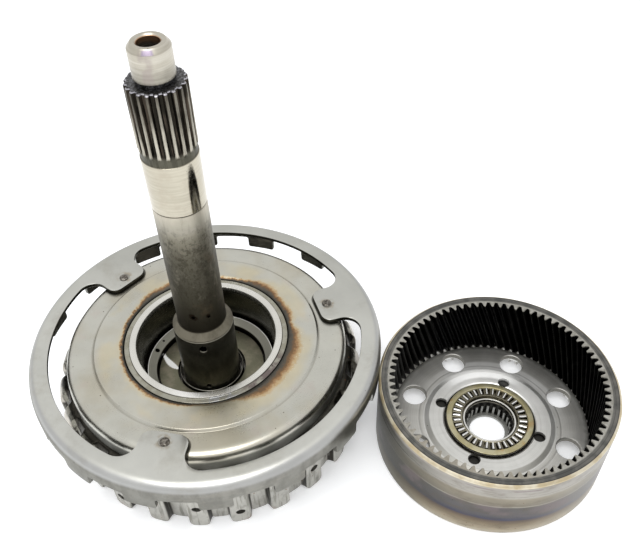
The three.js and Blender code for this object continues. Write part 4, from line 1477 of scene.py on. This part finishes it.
def ring_metal():
    """Ring gear: cream outer edge, grey rim, pale tooth ends, flanks painted black as shade, painted light on
    the wall below the web, banded outside.
    """
    n = Nodes("ring_metal")
    radius, angle, height = n.round_axis(RING)
    top = top_of("ring_gear")
    rim = n.tones(n.noise(0.16, 4), 0.35, 0.65, (0.105, 0.105, 0.098), (0.175, 0.17, 0.155))
    rim_line = n.either(n.band(radius, 64.3, 64.6, 0.15), n.both(n.band(radius, 62.4, 62.8, 0.2), 0.5))
    rim = n.mix(rim_line, rim, (0.045, 0.042, 0.045))
    tooth_end = n.tones(n.noise(0.5, 4), 0.35, 0.65, (0.30, 0.29, 0.255), (0.44, 0.43, 0.39))
    tooth_end = n.layers(tooth_end, (n.band(angle, -150, -80, 12), 0.5, (0.34, 0.30, 0.235)))
    face = n.tones(n.vary(radius, n.noise(0.5, 3), 0.5), 60.8, 61.6, tooth_end, rim)
    on_top = n.span(height, top - 0.9, top - 0.6)
    cream = n.tones(n.noise(0.12, 4), 0.35, 0.65, (0.55, 0.46, 0.30), (0.72, 0.665, 0.53))
    edge = n.both(n.span(radius, 64.6, 64.9), n.span(height, top - 2.3, top - 1.8))
    flank_mix = n.noise(0.6, 4, stretch=(1, 1, 0.15))
    # Flanks painted near black: partly their own dark tone, partly painted shade inside the ring.
    flank = n.tones(flank_mix, 0.50, 0.72, (0.005, 0.005, 0.005), (0.020, 0.020, 0.018))
    inside = n.both(n.span(radius, 61.6, 61.2), n.span(height, top - 0.35, top - 0.75))
    # Painted light: the wall below the web is painted pale.
    below_web_light = n.both(n.span(radius, 62.6, 62.0), n.span(height, 9.0, 8.0))
    colour = n.layers(
        ring_outside(n, angle, height, top),
        (on_top, 1.0, face),
        (edge, 1.0, cream),
        (inside, 1.0, flank),
        (below_web_light, 1.0, (0.72, 0.71, 0.68)))
    rough = n.mix(inside, n.mix(on_top, 0.30, 0.42), 0.45)
    n.shader.inputs["Specular Tint"].default_value = (0.75, 0.75, 0.75, 1)
    return surface(n, colour, rough, clouds=0.14, grain=0.10)


def web_metal():
    """Hub: turned web, brighter boss, bearing pocket, notches and splined bore, with a painted glare on the
    boss at the back, painted light on the far side and the front of the slope, and painted shade near the
    teeth, in the pocket, on the sunk floors and on the hole walls.
    """
    n = Nodes("web_metal")
    radius, angle, height = n.round_axis(RING)
    boss = top_of("ring_hub")
    seat = bottom_of("bearing_race") - SEAT_GAP
    lines = turned_lines(n, radius, height, 2.4)
    rays = n.noise(0.10, 3, 0.5, where=n.spokes(angle))
    brushed = n.vary(lines, rays, 0.25)
    web = n.tones(brushed, 0.30, 0.70, (0.50, 0.49, 0.455), (0.62, 0.61, 0.575))
    bossed = n.tones(brushed, 0.30, 0.70, (0.60, 0.595, 0.565), (0.70, 0.695, 0.665))
    # Painted light: the web's far side is painted near white.
    far_side_light = n.both(n.band(angle, 15, 125, 25), n.span(radius, 45.5, 43.5))
    glare = n.both(n.both(n.band(angle, 54, 124, 16), n.band(radius, 31, 38, 1.0)), 0.95)
    near = n.both(n.band(angle, -150, -60, 20), n.span(radius, 45, 47))
    # Painted light and shade: the slope is painted pale at the front and darker at the back.
    slope = n.band(radius, 35.0, 38.0, 0.3)
    in_front = n.span(n.turned_from(angle, -105), 95, 60)
    slope_light_and_shade = n.mix(in_front, (0.90, 0.895, 0.86), (0.37, 0.36, 0.325))
    # Painted shade near the teeth.
    shade_near_teeth = n.span(n.vary(radius, n.noise(0.3, 4), 2.0), 53.5, 57.0)
    # Painted shade: the bearing pocket is painted a little darker than the web.
    pocket = n.both(n.span(radius, 26.9, 26.4), n.span(height, boss - 0.3, boss - 0.6))
    # Painted shade: the sunk floors are painted black.
    sunk_shade = n.both(n.band(height, 8.9, HUB_WEB - 0.7, 0.2), n.span(radius, 34, 33))
    crest = n.span(n.vary(radius, n.noise(0.8, 3), 0.2), 12.85, 12.4)
    toothed = n.mix(crest, (0.035, 0.034, 0.030), (0.34, 0.34, 0.32))
    mouth = n.both(n.band(radius, 14.2, 15.4, 0.15), n.span(height, seat - 1.3, seat - 0.9))
    # Painted shade on the walls of the holes.
    hole_wall_shade = n.both(n.span(n.steepness(), 0.7, 0.95), n.span(radius, 37, 38))
    colour = n.layers(
        web,
        (n.span(radius, 39.2, 38.2), 1.0, bossed),
        (far_side_light, 0.75, (0.97, 0.965, 0.94)),
        (glare, 1.0, (1.0, 1.0, 0.98)),
        (near, 0.35, (0.46, 0.41, 0.33)),
        (slope, n.math("ADD", 0.6, n.both(in_front, 0.2)), slope_light_and_shade),
        (shade_near_teeth, 0.7, (0.15, 0.145, 0.125)),
        (n.band(radius, 40.4, 41.2, 0.3), 0.25, (0.20, 0.195, 0.18)),
        (pocket, 1.0, (0.40, 0.39, 0.35)),
        (sunk_shade, 0.95, (0.014, 0.013, 0.011)),
        (n.span(radius, 14.6, 14.2), 1.0, toothed),
        (mouth, 1.0, (0.80, 0.80, 0.77)),
        (hole_wall_shade, 0.6, (0.16, 0.15, 0.12)))
    n.set("Metallic", n.without(glare))
    rough = n.vary(0.50, lines, 0.07)
    return surface(n, colour, rough, clouds=0.14, grain=0.12)


def cage_metal():
    """Bearing cage: matt straw-yellow rim with faint brown stains, painted shade between the rollers, and
    painted shade over painted light on the rim's outer side.
    """
    n = Nodes("cage_metal")
    radius, _, height = n.round_axis(RING)
    top = top_of("thrust_bearing")
    yellow = n.tones(n.noise(0.12, 5, 0.6), 0.38, 0.64, (0.40, 0.355, 0.20), (0.50, 0.465, 0.315))
    orange = n.span(n.noise(0.09, 3), 0.60, 0.70)
    # Painted shade over painted light on the rim's outer side.
    side = n.both(n.span(radius, 25.15, 25.28), n.span(height, top - 0.6, top - 0.8))
    side_shade_and_light = n.tones(height, top - 1.0, top - 1.2, (0.08, 0.072, 0.052), (0.95, 0.93, 0.86))
    colour = n.layers(
        yellow,
        (orange, 0.5, (0.42, 0.25, 0.09)),
        # Painted shade between the rollers.
        (n.span(radius, 21.9, 21.5), 1.0, (0.17, 0.155, 0.115)),
        (n.span(radius, 17.25, 16.95), 1.0, (0.34, 0.315, 0.235)),
        (side, 1.0, side_shade_and_light))
    return surface(n, colour, 0.40, clouds=0.14, grain=0.12)


def race_metal():
    """Bearing race: a bright inner lip, a painted highlight on its outer edge, and painted shade darkening it
    under the rollers.
    """
    n = Nodes("race_metal")
    radius, _, height = n.round_axis(RING)
    top = top_of("thrust_bearing")
    # Painted shade: the race is painted dark under the rollers.
    oily = n.tones(n.noise(0.3, 4), 0.4, 0.6, (0.12, 0.112, 0.088), (0.21, 0.195, 0.155))
    lip = n.both(n.span(radius, 15.5, 15.2), n.span(height, top - 2.4, top - 2.2))
    # Painted highlight on the race's outer edge.
    outer_edge_light = n.both(n.span(radius, 25.1, 25.25), 0.9)
    colour = n.mix(n.either(lip, outer_edge_light), oily, (0.70, 0.69, 0.65))
    return surface(n, colour, 0.22, clouds=0.10, grain=0.05)


def roller_metal():
    """Ground needle rollers."""
    n = Nodes("roller_metal")
    colour = n.tones(n.noise(0.7, 3), 0.35, 0.65, (0.72, 0.715, 0.69), (0.84, 0.835, 0.815))
    return surface(n, colour, 0.20, clouds=0.06, grain=0.03, wear=0.03)


def sleeve_metal():
    """Thin bright sleeve round the foot of the shaft, painted nearly black on its sides as painted shade."""
    n = Nodes("sleeve_metal")
    radius, _, height = n.round_axis(DRUM)
    top = top_of("shaft_sleeve")
    lip = n.tones(n.noise(0.25, 4), 0.35, 0.60, (0.26, 0.25, 0.21), (0.40, 0.385, 0.34))
    on_lip = n.both(n.span(height, top - 0.5, top - 0.2), n.band(radius, 18.2, 18.7, 0.1))
    # Painted shade: the sleeve's sides are painted nearly black.
    colour = n.mix(on_lip, (0.030, 0.028, 0.022), lip)
    return surface(n, colour, 0.34, clouds=0.10, grain=0.05)


def dark_metal():
    """Blackened rivets and spring rings, worn to steel in places."""
    n = Nodes("dark_metal")
    worn = n.noise(0.7, 5, 0.65)
    colour = n.tones(worn, 0.42, 0.62, (0.085, 0.075, 0.063), (0.27, 0.25, 0.22))
    return surface(n, colour, 0.40, clouds=0.20, grain=0.20)


def gear_metal():
    """Hardened gear teeth: grey-brown with ground flanks and oil film."""
    n = Nodes("gear_metal")
    oil = n.noise(0.14, 5, 0.6)
    ground = n.span(n.noise(1.2, 3, stretch=(1, 1, 0.12)), 0.50, 0.66)
    colour = n.layers(
        n.tones(oil, 0.38, 0.66, (0.36, 0.35, 0.32), (0.22, 0.20, 0.165)),
        (ground, 0.4, (0.55, 0.54, 0.51)))
    return surface(n, colour, 0.30, clouds=0.14, grain=0.10)


def washer_metal():
    """Bronze thrust washers with darker rubbed patches."""
    n = Nodes("washer_metal")
    patina = n.noise(0.25, 5)
    colour = n.tones(patina, 0.38, 0.62, (0.52, 0.36, 0.17), (0.34, 0.23, 0.12))
    return surface(n, colour, 0.34, clouds=0.16, grain=0.10)


def main():
    """Makes the materials and builds every piece."""
    dark = dark_metal()
    rollers = roller_metal()
    gear = gear_metal()
    plate = carrier_plate()
    build_tone_ring(satin_sheet(), dark)
    build_cover(cover_sheet())
    build_neck(neck_metal())
    build_clutch_drum(drum_wall())
    build_upper_plate(plate)
    build_lower_plate(plate)
    build_sleeve(sleeve_metal())
    build_planets(gear, rollers, washer_metal())
    build_shaft(shaft_metal())
    build_sun(gear, dark)
    build_ring_gear(ring_metal())
    build_hub(web_metal())
    build_thrust_bearing(cage_metal(), rollers, race_metal())
    build_hub_clip(rollers)


# ---------------------------------------------------------------- camera, light and floor

CAMERA_LENS = 43.69
CAMERA_PITCH = 47.284          # degrees below the horizon
CAMERA_ROLL = -1.553
CAMERA_FROM_DRUM = (67.58, -292.88, 391.21)
CAMERA_SHIFT = (-0.0058, 0.055)
FLOOR_HALF = 6.0               # metres
FLOOR_GLOW = 0.22
SOFTBOX_PLACE = (-0.15, -0.55, 1.5)    # metres
SOFTBOX_TARGET = (0, 0, 0.03)
SOFTBOX_SIZE = (0.9, 0.9)
SOFTBOX_POWER = 11             # watts


def make_camera():
    """The camera, at the place and angle the object is seen from."""
    data = bpy.data.cameras.new("camera")
    data.lens = CAMERA_LENS
    data.sensor_width = 36
    data.shift_x, data.shift_y = CAMERA_SHIFT
    data.clip_start, data.clip_end = 0.01, 50
    camera = bpy.data.objects.new("camera", data)
    bpy.context.scene.collection.objects.link(camera)
    x, y, z = CAMERA_FROM_DRUM
    place = Matrix.Translation(((DRUM[0] + x) * MM, (DRUM[1] + y) * MM, z * MM))
    tilt = Matrix.Rotation(math.radians(90 - CAMERA_PITCH), 4, "X")
    roll = Matrix.Rotation(math.radians(CAMERA_ROLL), 4, "Z")
    camera.matrix_world = place @ tilt @ roll
    bpy.context.scene.camera = camera


def make_floor():
    """A plain pale floor."""
    mesh = bpy.data.meshes.new("floor")
    corners = [(x * FLOOR_HALF, y * FLOOR_HALF, 0) for x, y in ((-1, -1), (1, -1), (1, 1), (-1, 1))]
    mesh.from_pydata(corners, [], [(0, 1, 2, 3)])
    floor = bpy.data.objects.new("floor", mesh)
    bpy.context.scene.collection.objects.link(floor)
    material = bpy.data.materials.new("floor_paint")
    material.use_nodes = True
    shader = material.node_tree.nodes["Principled BSDF"]
    shader.inputs["Base Color"].default_value = (0.925, 0.937, 0.955, 1)
    shader.inputs["Roughness"].default_value = 0.8
    shader.inputs["Emission Color"].default_value = (1, 1, 1, 1)
    shader.inputs["Emission Strength"].default_value = FLOOR_GLOW
    mesh.materials.append(material)


def make_softbox():
    """A square softbox above the object, a little in front of it and to its left."""
    data = bpy.data.lights.new("key_softbox", "AREA")
    data.shape = "RECTANGLE"
    data.size, data.size_y = SOFTBOX_SIZE
    data.energy = SOFTBOX_POWER
    light = bpy.data.objects.new("key_softbox", data)
    light.location = SOFTBOX_PLACE
    aim = Vector(SOFTBOX_TARGET) - Vector(SOFTBOX_PLACE)
    light.rotation_euler = aim.to_track_quat("-Z", "Y").to_euler()
    bpy.context.scene.collection.objects.link(light)


def make_world():
    """Even white light from all round."""
    world = bpy.data.worlds.new("studio")
    bpy.context.scene.world = world
    world.use_nodes = True
    background = world.node_tree.nodes["Background"]
    background.inputs["Color"].default_value = (1, 1, 1, 1)
    background.inputs["Strength"].default_value = 1.0


def make_studio():
    """Camera, floor and light."""
    make_camera()
    make_floor()
    make_world()
    make_softbox()
    bpy.context.scene.view_settings.view_transform = "Standard"


main()
make_studio()
